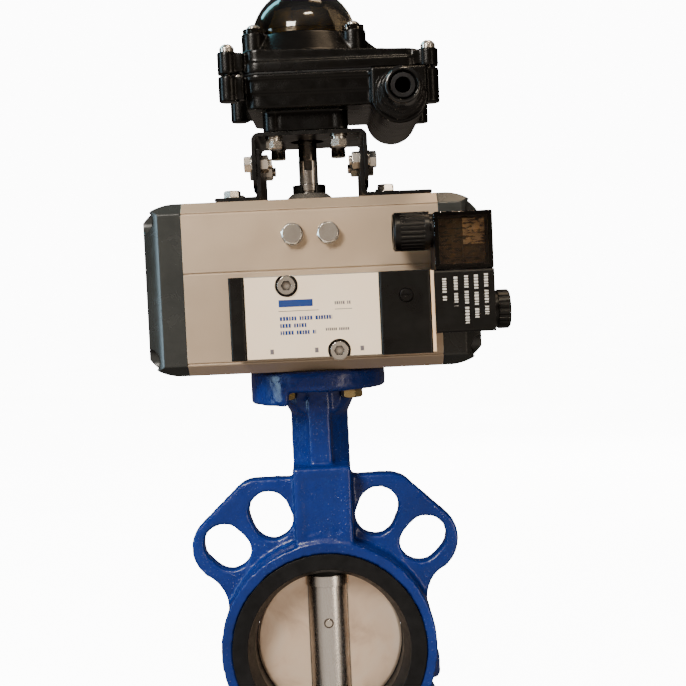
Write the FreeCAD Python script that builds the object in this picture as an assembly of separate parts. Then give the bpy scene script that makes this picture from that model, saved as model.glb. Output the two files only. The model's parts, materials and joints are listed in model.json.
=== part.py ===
import FreeCAD, Part
import math
import os
from FreeCAD import Vector

# Pneumatic actuated butterfly valve: a DN80 wafer valve, a rack-and-pinion actuator on its
# top flange, a solenoid valve on the actuator's front and a limit-switch box on a bracket.
# Millimetres. Origin where the pipe axis (Y) meets the stem axis (Z). The front is -Y.

# ---------------------------------------------------------------- driving dimensions
# Wafer valve
ring_radius = 57.0
body_half_length = 23.0
body_bore_radius = 45.3
seat_face = 24.0
seat_lip_radius = 51.0
seat_bore_radius = 39.5
disc_radius = 39.2
disc_half_thickness = 3.2
hub_radius = 11.0
hub_collar_radius = 12.0
hub_half_height = 36.3
stem_radius = 7.0
stem_square = 11.0
stem_bottom = -61.0
stem_top = 163.0
neck_half_width = 15.3
ear_half_thickness = 5.3
ear_bolt_circle = 149.4
ear_slot_width = 21.5
ear_slot_travel = 5.2
ear_slot_angles = (22.5, 45.0)
ear_top = 89.2
taper_pin_z = 10.9
flange_radius = 36.0
flange_bottom = 137.0
flange_top = 148.0
flange_bolt_circle = 50.0
plug_bore_radius = 10.0
boss_bottom = -75.0

# Actuator
actuator_mid = 192.0
actuator_half_height = 44.0
actuator_half_width = 37.7
actuator_half_length = 64.8
edge_chamfer_height = 5.5
edge_chamfer_width = 6.5
face_groove_offsets = (7.9, 38.0, -37.6)
bore_radius = 31.5
cap_reach = 87.0
cap_screw_seat = 8.0
cap_pocket_radius = 6.2
stop_screw_x = 9.05
stop_screw_z = 217.8
namur_pitch_x = 24.0
namur_pitch_z = 32.0

# Rack and pinion
gear_module = 1.25
gear_teeth = 20
backlash_cut = 0.35
gear_bottom = 178.0
gear_top = 206.0
rack_half_height = 10.0
rack_back = 22.0
piston_radius = 31.2
piston_inner = 30.0
piston_thickness = 12.0

# Stop cam
cam_radius = 13.0
cam_face = 12.0
cam_bottom = 213.0
cam_top = 222.0
octagon_flats = 17.0

# Solenoid valve
solenoid_mid = 176.0
solenoid_front = -70.0
solenoid_bottom = 156.8
solenoid_top = 196.7
solenoid_left = -32.4
solenoid_right = 32.4
pilot_right = 57.0
coil_left = 58.6
coil_right = 87.5
coil_axis_y = -56.0
coil_nut_end = 95.9
connector_left = 59.7
connector_right = 87.8
connector_front = -68.0
connector_back = -44.0
connector_bottom = 196.0
connector_top = 224.0
connector_gland_z = 215.6

# Bracket and limit-switch box
foot_pitch_x = 80.0
foot_pitch_y = 30.0
sheet = 2.0
plate_top = 270.2
plate_bottom = 241.0
plate_half_depth = 31.0
leg_half_depth = 30.0
leg_top = 261.0
bracket_shift = 1.5
bracket_half_width = 29.5
side_bolt_y = 22.0
side_bolt_z = 255.2
box_bolt_x = 16.6
box_bolt_y = 25.0
box_left = -31.0
box_right = 60.0
box_half_depth = 40.0
box_corner = 9.0
box_bottom = 281.0
box_seam = 298.3
box_step = 303.8
box_lid_top = 308.4
box_lid_left_top = 310.6
box_lid_right_top = 307.8
deck_top = 321.0
dome_radius = 28.0
switch_shaft_radius = 5.0
gland_x = 47.5
gland_z = 284.0
barrel_radius = 14.1
lug_radius = 5.0
lug_y = 35.5
left_lug = (-37.7, 285.0, 309.8)
right_lug = (63.2, 280.5, 307.6)
microswitch_levels = (290.5, 299.0)
microswitch_y = 15.5
lever_pivot = (-9.5, 16.4)

clearance = 0.05
origin = Vector(0, 0, 0)
x_axis = Vector(1, 0, 0)
y_axis = Vector(0, 1, 0)
z_axis = Vector(0, 0, 1)


# ---------------------------------------------------------------- shared shapes
def block(xs, ys, zs):
    """A box between two coordinates along each axis."""
    corner = Vector(min(xs), min(ys), min(zs))
    return Part.makeBox(abs(xs[1] - xs[0]), abs(ys[1] - ys[0]), abs(zs[1] - zs[0]), corner)


def rod(radius, start, end):
    """A solid cylinder from one point to another."""
    start = Vector(*start)
    way = Vector(*end) - start
    return Part.makeCylinder(radius, way.Length, start, way)


def ring(outer, inner, start, end):
    """A tube from one point to another."""
    return rod(outer, start, end).cut(rod(inner, start, end))


def cone(start_radius, end_radius, start, end):
    """A frustum from one point to another."""
    start = Vector(*start)
    way = Vector(*end) - start
    return Part.makeCone(start_radius, end_radius, way.Length, start, way)


def prism(across_flats, start, end, sides=6, turn=0.0):
    """A regular prism from one point to another, such as a nut's outside."""
    corner_radius = across_flats / 2 / math.cos(math.pi / sides)
    start = Vector(*start)
    way = Vector(*end) - start
    points = []
    for index in range(sides + 1):
        angle = math.radians(turn) + 2 * math.pi * index / sides
        points.append(Vector(corner_radius * math.cos(angle), corner_radius * math.sin(angle), 0))
    shape = Part.Face(Part.makePolygon(points)).extrude(Vector(0, 0, way.Length))
    shape.Placement = FreeCAD.Placement(start, FreeCAD.Rotation(z_axis, way))
    return shape


def hex_head(across_flats, start, end, turn=0.0):
    """A hexagon whose corners are chamfered at its far end."""
    way = Vector(*end) - Vector(*start)
    chamfer = cone(across_flats * 0.62 + way.Length, across_flats * 0.47, start, end)
    return prism(across_flats, start, end, 6, turn).common(chamfer)


def slab(points, axis, low, high):
    """A flat outline, given in the two other axes in x, y, z order, extruded along one axis."""
    if axis == "x":
        outline = [Vector(low, a, b) for a, b in points]
        way = Vector(high - low, 0, 0)
    elif axis == "y":
        outline = [Vector(a, low, b) for a, b in points]
        way = Vector(0, high - low, 0)
    else:
        outline = [Vector(a, b, low) for a, b in points]
        way = Vector(0, 0, high - low)
    return Part.Face(Part.makePolygon(outline + [outline[0]])).extrude(way)


def turned(points, axis_direction, axis_point=origin):
    """A profile of (radius, height) points revolved about the Z or Y axis through a point."""
    if axis_direction == "z":
        outline = [axis_point + Vector(radius, 0, height) for radius, height in points]
        axis = z_axis
    else:
        outline = [axis_point + Vector(radius, height, 0) for radius, height in points]
        axis = y_axis
    return Part.Face(Part.makePolygon(outline + [outline[0]])).revolve(axis_point, axis, 360)


def joined(shapes):
    """One solid from overlapping shapes."""
    shapes = list(shapes)
    return shapes[0].multiFuse(shapes[1:]).removeSplitter()


def without(shape, tools):
    return shape.cut(list(tools))


def rounded(shape, radius, wanted):
    """Fillet the edges that a test picks."""
    edges = [edge for edge in shape.Edges if wanted(edge)]
    return shape.makeFillet(radius, edges)


def runs_along(axis):
    """A test for straight edges along one axis."""
    def wanted(edge):
        if not isinstance(edge.Curve, Part.Line):
            return False
        return abs(edge.tangentAt(edge.FirstParameter).dot(axis)) > 0.999
    return wanted


def rounded_corner(before, corner, after, radius):
    """The start, middle and end points of an arc that rounds a corner."""
    into = (corner - before).normalize()
    away = (after - corner).normalize()
    half_angle = into.getAngle(away) / 2
    setback = radius * math.tan(half_angle)
    inward = (away - into).normalize()
    depth = radius / math.cos(half_angle) - radius
    return corner - into * setback, corner + inward * depth, corner + away * setback


def rounded_loop(corners, radius):
    """A closed wire through corners, each rounded to a radius."""
    count = len(corners)
    arcs = []
    for index, corner in enumerate(corners):
        arcs.append(rounded_corner(corners[index - 1], corner, corners[(index + 1) % count], radius))
    edges = []
    for (start, middle, end), (next_start, _, _) in zip(arcs, arcs[1:] + arcs[:1]):
        edges.append(Part.Arc(start, middle, end).toShape())
        edges.append(Part.makeLine(end, next_start))
    return Part.Wire(edges)


def group(solids):
    return Part.makeCompound([solid for shape in solids for solid in shape.Solids])


def mirrored(shape, normal, point=origin):
    return shape.mirror(point, normal)


def half_turn(shape):
    """A copy turned by half a turn about the stem axis."""
    turned_copy = shape.copy()
    turned_copy.rotate(origin, z_axis, 180)
    return turned_copy


# ---------------------------------------------------------------- wafer valve
def ear_slot(angle):
    """One radial bolt slot through an ear, at an angle from the stem axis."""
    direction = Vector(math.sin(math.radians(angle)), 0, math.cos(math.radians(angle)))
    depth = 40.0
    radius = ear_slot_width / 2
    ends = []
    for side in (-1, 1):
        centre = direction * (ear_bolt_circle / 2 + side * ear_slot_travel / 2)
        ends.append(rod(radius, (centre.x, -depth, centre.z), (centre.x, depth, centre.z)))
    middle = block((-radius, radius), (-depth, depth), (-ear_slot_travel / 2, ear_slot_travel / 2))
    middle.rotate(origin, y_axis, angle)
    middle.translate(direction * (ear_bolt_circle / 2))
    return joined(ends + [middle])


def ear():
    """The upper right ear, before its slots are cut."""
    def at(x, z):
        return Vector(x, -ear_half_thickness, z)
    lobe = Vector(1, 0, 1) * (ear_bolt_circle / 2 * math.sin(math.pi / 4))
    lobe_radius = 19.0

    def on_lobe(angle):
        turn = math.radians(angle)
        return at(lobe.x + lobe_radius * math.cos(turn), lobe.z + lobe_radius * math.sin(turn))
    edges = [
        Part.makeLine(at(10, ear_top), at(35.5, ear_top)),
        Part.Arc(at(35.5, ear_top), at(42.2, 87.6), at(47.4, 83.6)).toShape(),
        Part.makeLine(at(47.4, 83.6), on_lobe(36)),
        Part.Arc(on_lobe(36), on_lobe(-10), on_lobe(-58)).toShape(),
        Part.Arc(on_lobe(-58), at(56.4, 30.2), at(53.9, 18.5)).toShape(),
        Part.makeLine(at(53.9, 18.5), at(40, 18)),
        Part.makeLine(at(40, 18), at(10, 48)),
        Part.makeLine(at(10, 48), at(10, ear_top)),
    ]
    return Part.Face(Part.Wire(edges)).extrude(Vector(0, 2 * ear_half_thickness, 0))


def neck_solid():
    """The stem housing between the ring and the top flange."""
    core_half_depth = 13.5
    rib_half_width = 5.8
    rib_half_depth = 16.0
    pad_half_depth = 21.5
    outline = []
    for x_side, y_side in ((1, 1), (-1, 1), (-1, -1), (1, -1)):
        side_point = (x_side * neck_half_width, y_side * 3.0)
        rib_point = (x_side * 6.0, y_side * core_half_depth)
        outline += [side_point, rib_point] if x_side == y_side else [rib_point, side_point]
    core = slab(outline, "z", 50.0, flange_top)
    rib = block((-rib_half_width, rib_half_width), (-rib_half_depth, rib_half_depth), (50, flange_top - 4))
    foot = block((-neck_half_width, neck_half_width), (-pad_half_depth, pad_half_depth), (48, 96.5))
    foot = rounded(foot, 1.6, runs_along(z_axis))
    flare = cone(neck_half_width, 22.0, (0, 0, 124), (0, 0, flange_bottom))
    flare = flare.common(block((-22, 22), (-14, 14), (124, flange_bottom)))
    recess = rounded(
        block((-11, 11), (-pad_half_depth - 1, -pad_half_depth + 0.8), (60.5, 92.5)), 2.0, runs_along(y_axis)
    )
    return core, rib, foot, flare, recess


def valve_body():
    ring_outer = rod(ring_radius, (0, -body_half_length, 0), (0, body_half_length, 0))
    ears = []
    right_ear = ear()
    left_ear = mirrored(right_ear, x_axis)
    for upper in (right_ear, left_ear):
        ears += [upper, mirrored(upper, z_axis)]
    core, rib, foot, flare, recess = neck_solid()
    flange = rod(flange_radius, (0, 0, flange_bottom), (0, 0, flange_top))
    flange_edges = [edge for edge in flange.Edges if edge.BoundBox.ZLength < 1]
    flange = flange.makeChamfer(1.2, flange_edges)
    skirt = ring(flange_radius, flange_radius - 8, (0, 0, 130), (0, 0, flange_bottom + 1))
    skirt = skirt.common(block((-40, -15), (-32, 32), (125, 140)))
    lower_boss = rod(neck_half_width, (0, 0, boss_bottom), (0, 0, -40))
    lower_web = block((-neck_half_width, neck_half_width), (-10, 10), (-70, -48))
    side_pad = rounded(block((50, 59.0), (-7, 7), (-23, -7)), 4.0, runs_along(y_axis))
    solid = joined([ring_outer, core, rib, foot, flare, flange, skirt, lower_boss, lower_web, side_pad, *ears])
    bolt_offset = flange_bolt_circle / 2 * math.cos(math.pi / 4)
    cuts = [recess, mirrored(recess, y_axis)]
    cuts.append(rod(body_bore_radius, (0, -30, 0), (0, 30, 0)))
    lip_depth = 21.0
    for side in (-1, 1):
        cuts.append(rod(seat_lip_radius + 0.2, (0, side * lip_depth, 0), (0, side * 30, 0)))
    cuts.append(rod(stem_radius + 0.4, (0, 0, -70), (0, 0, flange_top + 1)))
    cuts.append(rod(stem_radius + 2 + clearance, (0, 0, 118), (0, 0, flange_top + 1)))
    cuts.append(rod(stem_radius + 2 + clearance, (0, 0, 48), (0, 0, 76)))
    cuts.append(rod(stem_radius + 2 + clearance, (0, 0, -64), (0, 0, -48)))
    cuts.append(rod(plug_bore_radius + clearance, (0, 0, boss_bottom - 1), (0, 0, -64)))
    cuts.append(rod(neck_half_width + 0.7, (0, 0, -100), (0, 0, boss_bottom)))
    for groove_z in (84.0, 92.0):
        cuts.append(rod(stem_radius + 2.2, (0, 0, groove_z), (0, 0, groove_z + 3.2)))
    for x_side in (-1, 1):
        for y_side in (-1, 1):
            x = x_side * bolt_offset
            y = y_side * bolt_offset
            cuts.append(rod(3.3, (x, y, 120), (x, y, flange_top + 1)))
            cuts.append(rod(7.0, (x, y, 120), (x, y, flange_bottom)))
    for angle in ear_slot_angles:
        for turn in (angle, -angle, 180 - angle, 180 + angle):
            cuts.append(ear_slot(turn))
    return without(solid, cuts)


def seat_liner():
    """The rubber seat: a sleeve with a lip on each face and flats round the stem holes."""
    sleeve = turned(
        [
            (seat_lip_radius, -seat_face), (seat_bore_radius + 3.5, -seat_face),
            (seat_bore_radius, -seat_face + 9), (seat_bore_radius, seat_face - 9),
            (seat_bore_radius + 3.5, seat_face), (seat_lip_radius, seat_face),
            (seat_lip_radius, 21.1), (body_bore_radius - clearance, 21.1),
            (body_bore_radius - clearance, -21.1), (seat_lip_radius, -21.1),
        ],
        "y",
    )
    pads = []
    for side in (-1, 1):
        pads.append(rod(hub_collar_radius, (0, 0, side * (hub_half_height + 0.4)), (0, 0, side * 42)))
    holes = rod(stem_radius + 0.35, (0, 0, -60), (0, 0, 60))
    return joined([sleeve] + pads).cut(holes)


def disc():
    """The disc with its stem hub, closed, inside a sphere that clears the seat at any angle."""
    plate = block((-40, 40), (-disc_half_thickness, disc_half_thickness), (-40, 40))
    bevel_depth = 0.8
    bevel_radius = 37.8
    for side in (-1, 1):
        face = side * disc_half_thickness
        bevel_end = side * (disc_half_thickness - bevel_depth)
        edge_cut = ring(60, bevel_radius, (0, bevel_end, 0), (0, side * 9, 0))
        slope = cone(bevel_radius, 40, (0, face, 0), (0, bevel_end, 0))
        plate = plate.cut(edge_cut.cut(slope))
    hub = rod(hub_radius, (0, 0, -hub_half_height), (0, 0, hub_half_height))
    solids = [plate, hub]
    for side in (-1, 1):
        shoulder = hub_half_height - 5.6
        solids.append(rod(hub_collar_radius, (0, 0, side * shoulder), (0, 0, side * hub_half_height)))
    shape = joined(solids).common(Part.makeSphere(disc_radius))
    cuts = [rod(stem_radius + clearance, (0, 0, -50), (0, 0, 50))]
    for side in (-1, 1):
        cuts.append(rod(hub_collar_radius + 0.6, (0, 0, side * hub_half_height), (0, 0, side * 45)))
    cuts.append(taper_pin_shape(clearance))
    return without(shape, cuts)


def taper_pin_shape(extra=0.0):
    end = hub_radius + 0.2
    return cone(1.9 + extra, 1.6 + extra, (0, -end, taper_pin_z), (0, end, taper_pin_z))


def stem():
    shaft = rod(stem_radius, (0, 0, stem_bottom), (0, 0, 136))
    square = prism(stem_square, (0, 0, 136), (0, 0, stem_top), 4, 45)
    square = square.common(rod(stem_radius, (0, 0, 136), (0, 0, stem_top)))
    return joined([shaft, square]).cut(taper_pin_shape(clearance))


def plain_bushes():
    inner = stem_radius + clearance
    outer = stem_radius + 2
    bushes = []
    for low, high in ((118.0, 134.0), (58.0, 75.9), (-63.9, -51.0)):
        bushes.append(ring(outer, inner, (0, 0, low), (0, 0, high)))
    bushes.append(ring(15.0, 13.0 + clearance, (0, 0, 148.3), (0, 0, 160.0)))
    bushes.append(ring(14.0, 12.0 + clearance, (0, 0, 225.0), (0, 0, 235.6)))
    return group(bushes)


def base_plug():
    shank = rod(plug_bore_radius, (0, 0, boss_bottom), (0, 0, -64.2))
    head = hex_head(22.0, (0, 0, boss_bottom), (0, 0, boss_bottom - 6))
    return joined([shank, head])


def flange_bolts():
    bolt_offset = flange_bolt_circle / 2 * math.cos(math.pi / 4)
    bolts = []
    for x_side in (-1, 1):
        for y_side in (-1, 1):
            x = x_side * bolt_offset
            y = y_side * bolt_offset
            head = hex_head(10.0, (x, y, flange_bottom), (x, y, flange_bottom - 4.6), 15)
            shank = rod(3.0, (x, y, flange_bottom), (x, y, flange_top + 9))
            bolts.append(joined([head, shank]))
    return group(bolts)


# ---------------------------------------------------------------- actuator
def actuator_section(x, inset_y=0.0, inset_z=0.0):
    """The extrusion's outline at an X place, drawn in by an inset: chamfered, with soft corners."""
    half_width = actuator_half_width - inset_y
    half_height = actuator_half_height - inset_z
    corners = []
    for y_side, z_side in ((1, 1), (-1, 1), (-1, -1), (1, -1)):
        on_face = Vector(x, y_side * half_width, actuator_mid + z_side * (half_height - edge_chamfer_height))
        on_top = Vector(x, y_side * (half_width - edge_chamfer_width), actuator_mid + z_side * half_height)
        corners += [on_face, on_top] if y_side == z_side else [on_top, on_face]
    return rounded_loop(corners, 1.5)


def cap_screw_places():
    """Centres of the end-cap screws in Y and Z, outside the bore at the section's corners."""
    return [(y * 29.5, actuator_mid + z * 35.5) for y in (-1, 1) for z in (-1, 1)]


def actuator_body():
    solid = Part.Face(actuator_section(-actuator_half_length)).extrude(x_axis * (2 * actuator_half_length))
    cuts = [rod(bore_radius, (-70, 0, actuator_mid), (70, 0, actuator_mid))]
    for offset in face_groove_offsets:
        groove_z = actuator_mid + offset
        for side in (-1, 1):
            face = side * actuator_half_width
            depths = (face - side * 0.7, face + side * 5)
            cuts.append(block((-70, 70), depths, (groove_z - 0.5, groove_z + 0.5)))
    cuts.append(rod(15.0 + clearance, (0, 0, 140), (0, 0, 175)))
    cuts.append(rod(14.0 + clearance, (0, 0, 210), (0, 0, 240)))
    cuts.append(rod(19.0, (0, 0, cam_bottom - 2), (0, 0, cam_top + 2.5)))
    bolt_offset = flange_bolt_circle / 2 * math.cos(math.pi / 4)
    for x_side in (-1, 1):
        stop_x = x_side * stop_screw_x
        cuts.append(rod(3.0 + clearance, (stop_x, -50, stop_screw_z), (stop_x, -10, stop_screw_z)))
        air_x = x_side * namur_pitch_x / 2
        air_depth = -20 if x_side < 0 else -31
        cuts.append(rod(3.2, (air_x, -50, solenoid_mid), (air_x, air_depth, solenoid_mid)))
        mount_z = solenoid_mid - x_side * namur_pitch_z / 2
        cuts.append(rod(2.5 + clearance, (air_x, -50, mount_z), (air_x, -32.8, mount_z)))
        for y_side in (-1, 1):
            x = x_side * bolt_offset
            y = y_side * bolt_offset
            cuts.append(rod(3.0 + clearance, (x, y, 140), (x, y, flange_top + 10)))
            x = x_side * foot_pitch_x / 2
            y = y_side * foot_pitch_y / 2
            cuts.append(rod(2.5 + clearance, (x, y, 228.5), (x, y, 240)))
        for y, z in cap_screw_places():
            start = x_side * (actuator_half_length - 16)
            cuts.append(rod(2.5 + clearance, (start, y, z), (x_side * 70, y, z)))
    cuts.append(rod(2.0, (-70, -33.5, solenoid_mid), (70, -33.5, solenoid_mid)))
    return without(solid, cuts)


def arc_edge(start, middle, end):
    return Part.Arc(Vector(*start), Vector(*middle), Vector(*end)).toShape()


def cap_plan(start):
    """The cap seen from above: straight sides, then facets that curve in to the crowned end."""
    side = actuator_half_width + 1
    edge_x = cap_reach - 10.5
    facet_x, facet_y = cap_reach - 0.8, 22.0
    middle_x, middle_y = cap_reach - 3.9, 31.2
    face_y = actuator_half_width
    edges = [
        Part.makeLine(Vector(start, side, 0), Vector(start, -side, 0)),
        Part.makeLine(Vector(start, -side, 0), Vector(edge_x, -side, 0)),
        Part.makeLine(Vector(edge_x, -side, 0), Vector(edge_x, -face_y, 0)),
        arc_edge((edge_x, -face_y, 0), (middle_x, -middle_y, 0), (facet_x, -facet_y, 0)),
        arc_edge((facet_x, -facet_y, 0), (cap_reach, 0, 0), (facet_x, facet_y, 0)),
        arc_edge((facet_x, facet_y, 0), (middle_x, middle_y, 0), (edge_x, face_y, 0)),
        Part.makeLine(Vector(edge_x, face_y, 0), Vector(edge_x, side, 0)),
        Part.makeLine(Vector(edge_x, side, 0), Vector(start, side, 0)),
    ]
    return Part.Face(Part.Wire(edges))


def cap_elevation(start):
    """The cap seen from the front: its top and bottom curve down to a tall flat end."""
    bend_start = start + 3.5
    drop = 11.0
    run = cap_reach + 0.5 - bend_start
    radius = (run ** 2 + drop ** 2) / (2 * drop)
    half_angle = math.asin(run / radius) / 2
    middle_x = bend_start + radius * math.sin(half_angle)
    middle_drop = radius * (1 - math.cos(half_angle))
    top = actuator_half_height
    end_x = cap_reach + 0.5
    low = actuator_mid - top
    high = actuator_mid + top
    edges = [
        Part.makeLine(Vector(start, 0, low), Vector(bend_start, 0, low)),
        arc_edge((bend_start, 0, low), (middle_x, 0, low + middle_drop), (end_x, 0, low + drop)),
        Part.makeLine(Vector(end_x, 0, low + drop), Vector(end_x, 0, high - drop)),
        arc_edge((end_x, 0, high - drop), (middle_x, 0, high - middle_drop), (bend_start, 0, high)),
        Part.makeLine(Vector(bend_start, 0, high), Vector(start, 0, high)),
        Part.makeLine(Vector(start, 0, high), Vector(start, 0, low)),
    ]
    return Part.Face(Part.Wire(edges))


def end_cap():
    """The right end cap: a skirt the shape of the body, cut back to a faceted and crowned end."""
    start = actuator_half_length
    end = cap_reach + 1
    shape = Part.Face(actuator_section(start)).extrude(x_axis * (end - start))
    plan = cap_plan(start)
    plan.translate(Vector(0, 0, 130))
    elevation = cap_elevation(start)
    elevation.translate(Vector(0, -50, 0))
    solid = shape.common(plan.extrude(Vector(0, 0, 130))).common(elevation.extrude(Vector(0, 100, 0)))
    cuts = [rod(28.0, (start - 1, 0, actuator_mid), (start + 15, 0, actuator_mid))]
    cuts.append(rod(1.6, (start - 1, -33.5, solenoid_mid), (start + 9, -24.0, solenoid_mid + 4)))
    cuts.append(ring(34.3, 32.2, (start - 1, 0, actuator_mid), (start + 1.5, 0, actuator_mid)))
    for y, z in cap_screw_places():
        cuts.append(rod(2.7, (start - 1, y, z), (end, y, z)))
        cuts.append(rod(cap_pocket_radius, (start + cap_screw_seat, y, z), (end, y, z)))
    return without(solid, cuts)


def cap_screws():
    """Socket cap screws that hold both end caps."""
    screws = []
    for side in (-1, 1):
        seat = actuator_half_length + cap_screw_seat
        for y, z in cap_screw_places():
            head = rod(4.25, (side * seat, y, z), (side * (seat + 5), y, z))
            shank = rod(2.5, (side * (seat - 20), y, z), (side * seat, y, z))
            socket = prism(4.0, (side * (seat + 2.2), y, z), (side * (seat + 6), y, z))
            screws.append(joined([head, shank]).cut(socket))
    return group(screws)


def stop_bolts():
    """The two travel stops: hexagon bolts with lock washers on the actuator's front."""
    bolts = []
    for side in (-1, 1):
        x = side * stop_screw_x
        face = -actuator_half_width
        shank = rod(3.0, (x, face - 1.4, stop_screw_z), (x, -cam_face - 0.2, stop_screw_z))
        head = hex_head(10.0, (x, face - 1.4, stop_screw_z), (x, face - 5.4, stop_screw_z), 10 * side)
        washer = ring(5.6, 3.0 + clearance, (x, face, stop_screw_z), (x, face - 1.4, stop_screw_z))
        bolts += [joined([shank, head]), washer]
    return group(bolts)


def tooth_angle(radius, pitch_radius, base_radius, half_thickness):
    """Half the angle that a pinion tooth spans at a radius, from the involute."""
    def involute(at_radius):
        pressure = math.acos(base_radius / at_radius)
        return math.tan(pressure) - pressure
    return half_thickness / pitch_radius + involute(pitch_radius) - involute(radius)


def gear():
    """The pinion's teeth, thinned for running clearance."""
    pitch_radius = gear_module * gear_teeth / 2
    base_radius = pitch_radius * math.cos(math.radians(20))
    tip_radius = pitch_radius + gear_module
    root_radius = pitch_radius - 1.25 * gear_module
    half_thickness = (math.pi * gear_module / 2 - backlash_cut) / 2
    radii = [base_radius + 0.01, pitch_radius - 0.2, pitch_radius + 0.6, tip_radius]

    def at(radius, angle):
        return Vector(radius * math.cos(angle), radius * math.sin(angle), gear_bottom)
    edges = []
    step = 2 * math.pi / gear_teeth
    for index in range(gear_teeth):
        centre = index * step
        rising = [at(r, centre - tooth_angle(r, pitch_radius, base_radius, half_thickness)) for r in radii]
        falling = [at(r, centre + tooth_angle(r, pitch_radius, base_radius, half_thickness)) for r in radii]
        falling.reverse()
        foot_angle = tooth_angle(radii[0], pitch_radius, base_radius, half_thickness)
        root_in = at(root_radius, centre - foot_angle)
        root_out = at(root_radius, centre + foot_angle)
        next_root = at(root_radius, centre + step - foot_angle)
        edges.append(Part.makeLine(root_in, rising[0]))
        flank = Part.BSplineCurve()
        flank.interpolate(rising)
        edges.append(flank.toShape())
        edges.append(Part.makeLine(rising[-1], falling[0]))
        flank = Part.BSplineCurve()
        flank.interpolate(falling)
        edges.append(flank.toShape())
        edges.append(Part.makeLine(falling[-1], root_out))
        edges.append(Part.makeLine(root_out, next_root))
    return Part.Face(Part.Wire(edges)).extrude(Vector(0, 0, gear_top - gear_bottom))


def pinion():
    root_radius = 10.5
    solid = joined([
        rod(13.0, (0, 0, 148.3), (0, 0, 166)),
        rod(root_radius, (0, 0, 166), (0, 0, cam_bottom)),
        gear(),
        prism(octagon_flats, (0, 0, cam_bottom), (0, 0, 224), 8, 22.5),
        rod(12.0, (0, 0, 224), (0, 0, 236.0)),
        rod(7.6, (0, 0, 236.0), (0, 0, 245.2)),
        rod(6.6, (0, 0, 245.2), (0, 0, 257.7)).common(block((-5, 5), (-8, 8), (245.2, 257.7))),
    ])
    drive = prism(stem_square + 0.1, (0, 0, 147), (0, 0, 165), 4, 45)
    slot = block((-2.1, 2.1), (-9, 9), (252.6, 260))
    ring_groove = ring(9, 7.0, (0, 0, 240.7), (0, 0, 241.9))
    return without(solid, [drive, slot, ring_groove])


def stop_cam():
    lobes = [
        rod(cam_radius, (0, 0, cam_bottom), (0, 0, cam_top)),
        block((0, cam_face), (-cam_face, 0), (cam_bottom, cam_top)),
        block((-cam_face, 0), (0, cam_face), (cam_bottom, cam_top)),
    ]
    seat = prism(octagon_flats + 0.1, (0, 0, cam_bottom - 1), (0, 0, cam_top + 1), 8, 22.5)
    return joined(lobes).cut(seat)


def thrust_washer():
    profile = [(7.9, 236.2), (13.2, 236.2), (13.2, 237.2), (9.6, 240.4), (7.9, 240.4)]
    return turned(profile, "z")


def snap_ring():
    """A retaining ring in the pinion's groove under a deep black collar, open at the front."""
    collar = ring(8.8, 7.65, (0, 0, 240.6), (0, 0, 245.0))
    collar = collar.fuse(ring(7.8, 7.05, (0, 0, 240.8), (0, 0, 241.8)))
    return collar.cut(block((-3.6, 3.6), (-12, 0), (240, 246))).removeSplitter()


def rack_outline():
    """The rack's outline in X and Y: straight teeth that face the pinion."""
    pitch_line = -gear_module * gear_teeth / 2
    pitch = math.pi * gear_module
    tip = pitch_line + gear_module
    root = pitch_line - 1.25 * gear_module
    slope = math.tan(math.radians(20))
    half = (pitch / 2 - backlash_cut) / 2
    left = -piston_inner + 0.8
    points = [(left, -rack_back), (left, root)]
    first = math.ceil((left + pitch) / pitch)
    last = math.floor((piston_inner - pitch) / pitch)
    for index in range(first, last + 1):
        centre = (index + 0.5) * pitch
        if centre > piston_inner - pitch:
            break
        points.append((centre - half - (pitch_line - root) * slope, root))
        points.append((centre - half + gear_module * slope, tip))
        points.append((centre + half - gear_module * slope, tip))
        points.append((centre + half + (pitch_line - root) * slope, root))
    points += [(piston_inner + 1, root), (piston_inner + 1, -rack_back)]
    return points


def piston():
    """The right piston: a round head and a rack arm that passes in front of the pinion."""
    outer = piston_inner + piston_thickness
    head = rod(piston_radius, (piston_inner, 0, actuator_mid), (outer, 0, actuator_mid))
    arm = slab(rack_outline(), "z", actuator_mid - rack_half_height, actuator_mid + rack_half_height)
    groove_start = piston_inner + 5.5
    cuts = [ring(33, 29, (groove_start, 0, actuator_mid), (groove_start + 3, 0, actuator_mid))]
    cuts.append(rod(23, (outer - 5, 0, actuator_mid), (outer + 1, 0, actuator_mid)))
    return without(joined([head, arm]), cuts)


def piston_rings():
    """The right piston's seal ring and the slide pad behind its rack."""
    start = piston_inner + 5.6
    seal = ring(bore_radius - clearance, 29.05, (start, 0, actuator_mid), (start + 2.8, 0, actuator_mid))
    slide = block((-24, 4), (-32, -rack_back), (actuator_mid - 6, actuator_mid + 6))
    slide = slide.common(rod(bore_radius - 0.1, (-30, 0, actuator_mid), (10, 0, actuator_mid)))
    return group([seal, slide])


# ---------------------------------------------------------------- solenoid valve
def spool_bore_ends():
    return solenoid_left + 4, solenoid_right - 2


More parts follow.
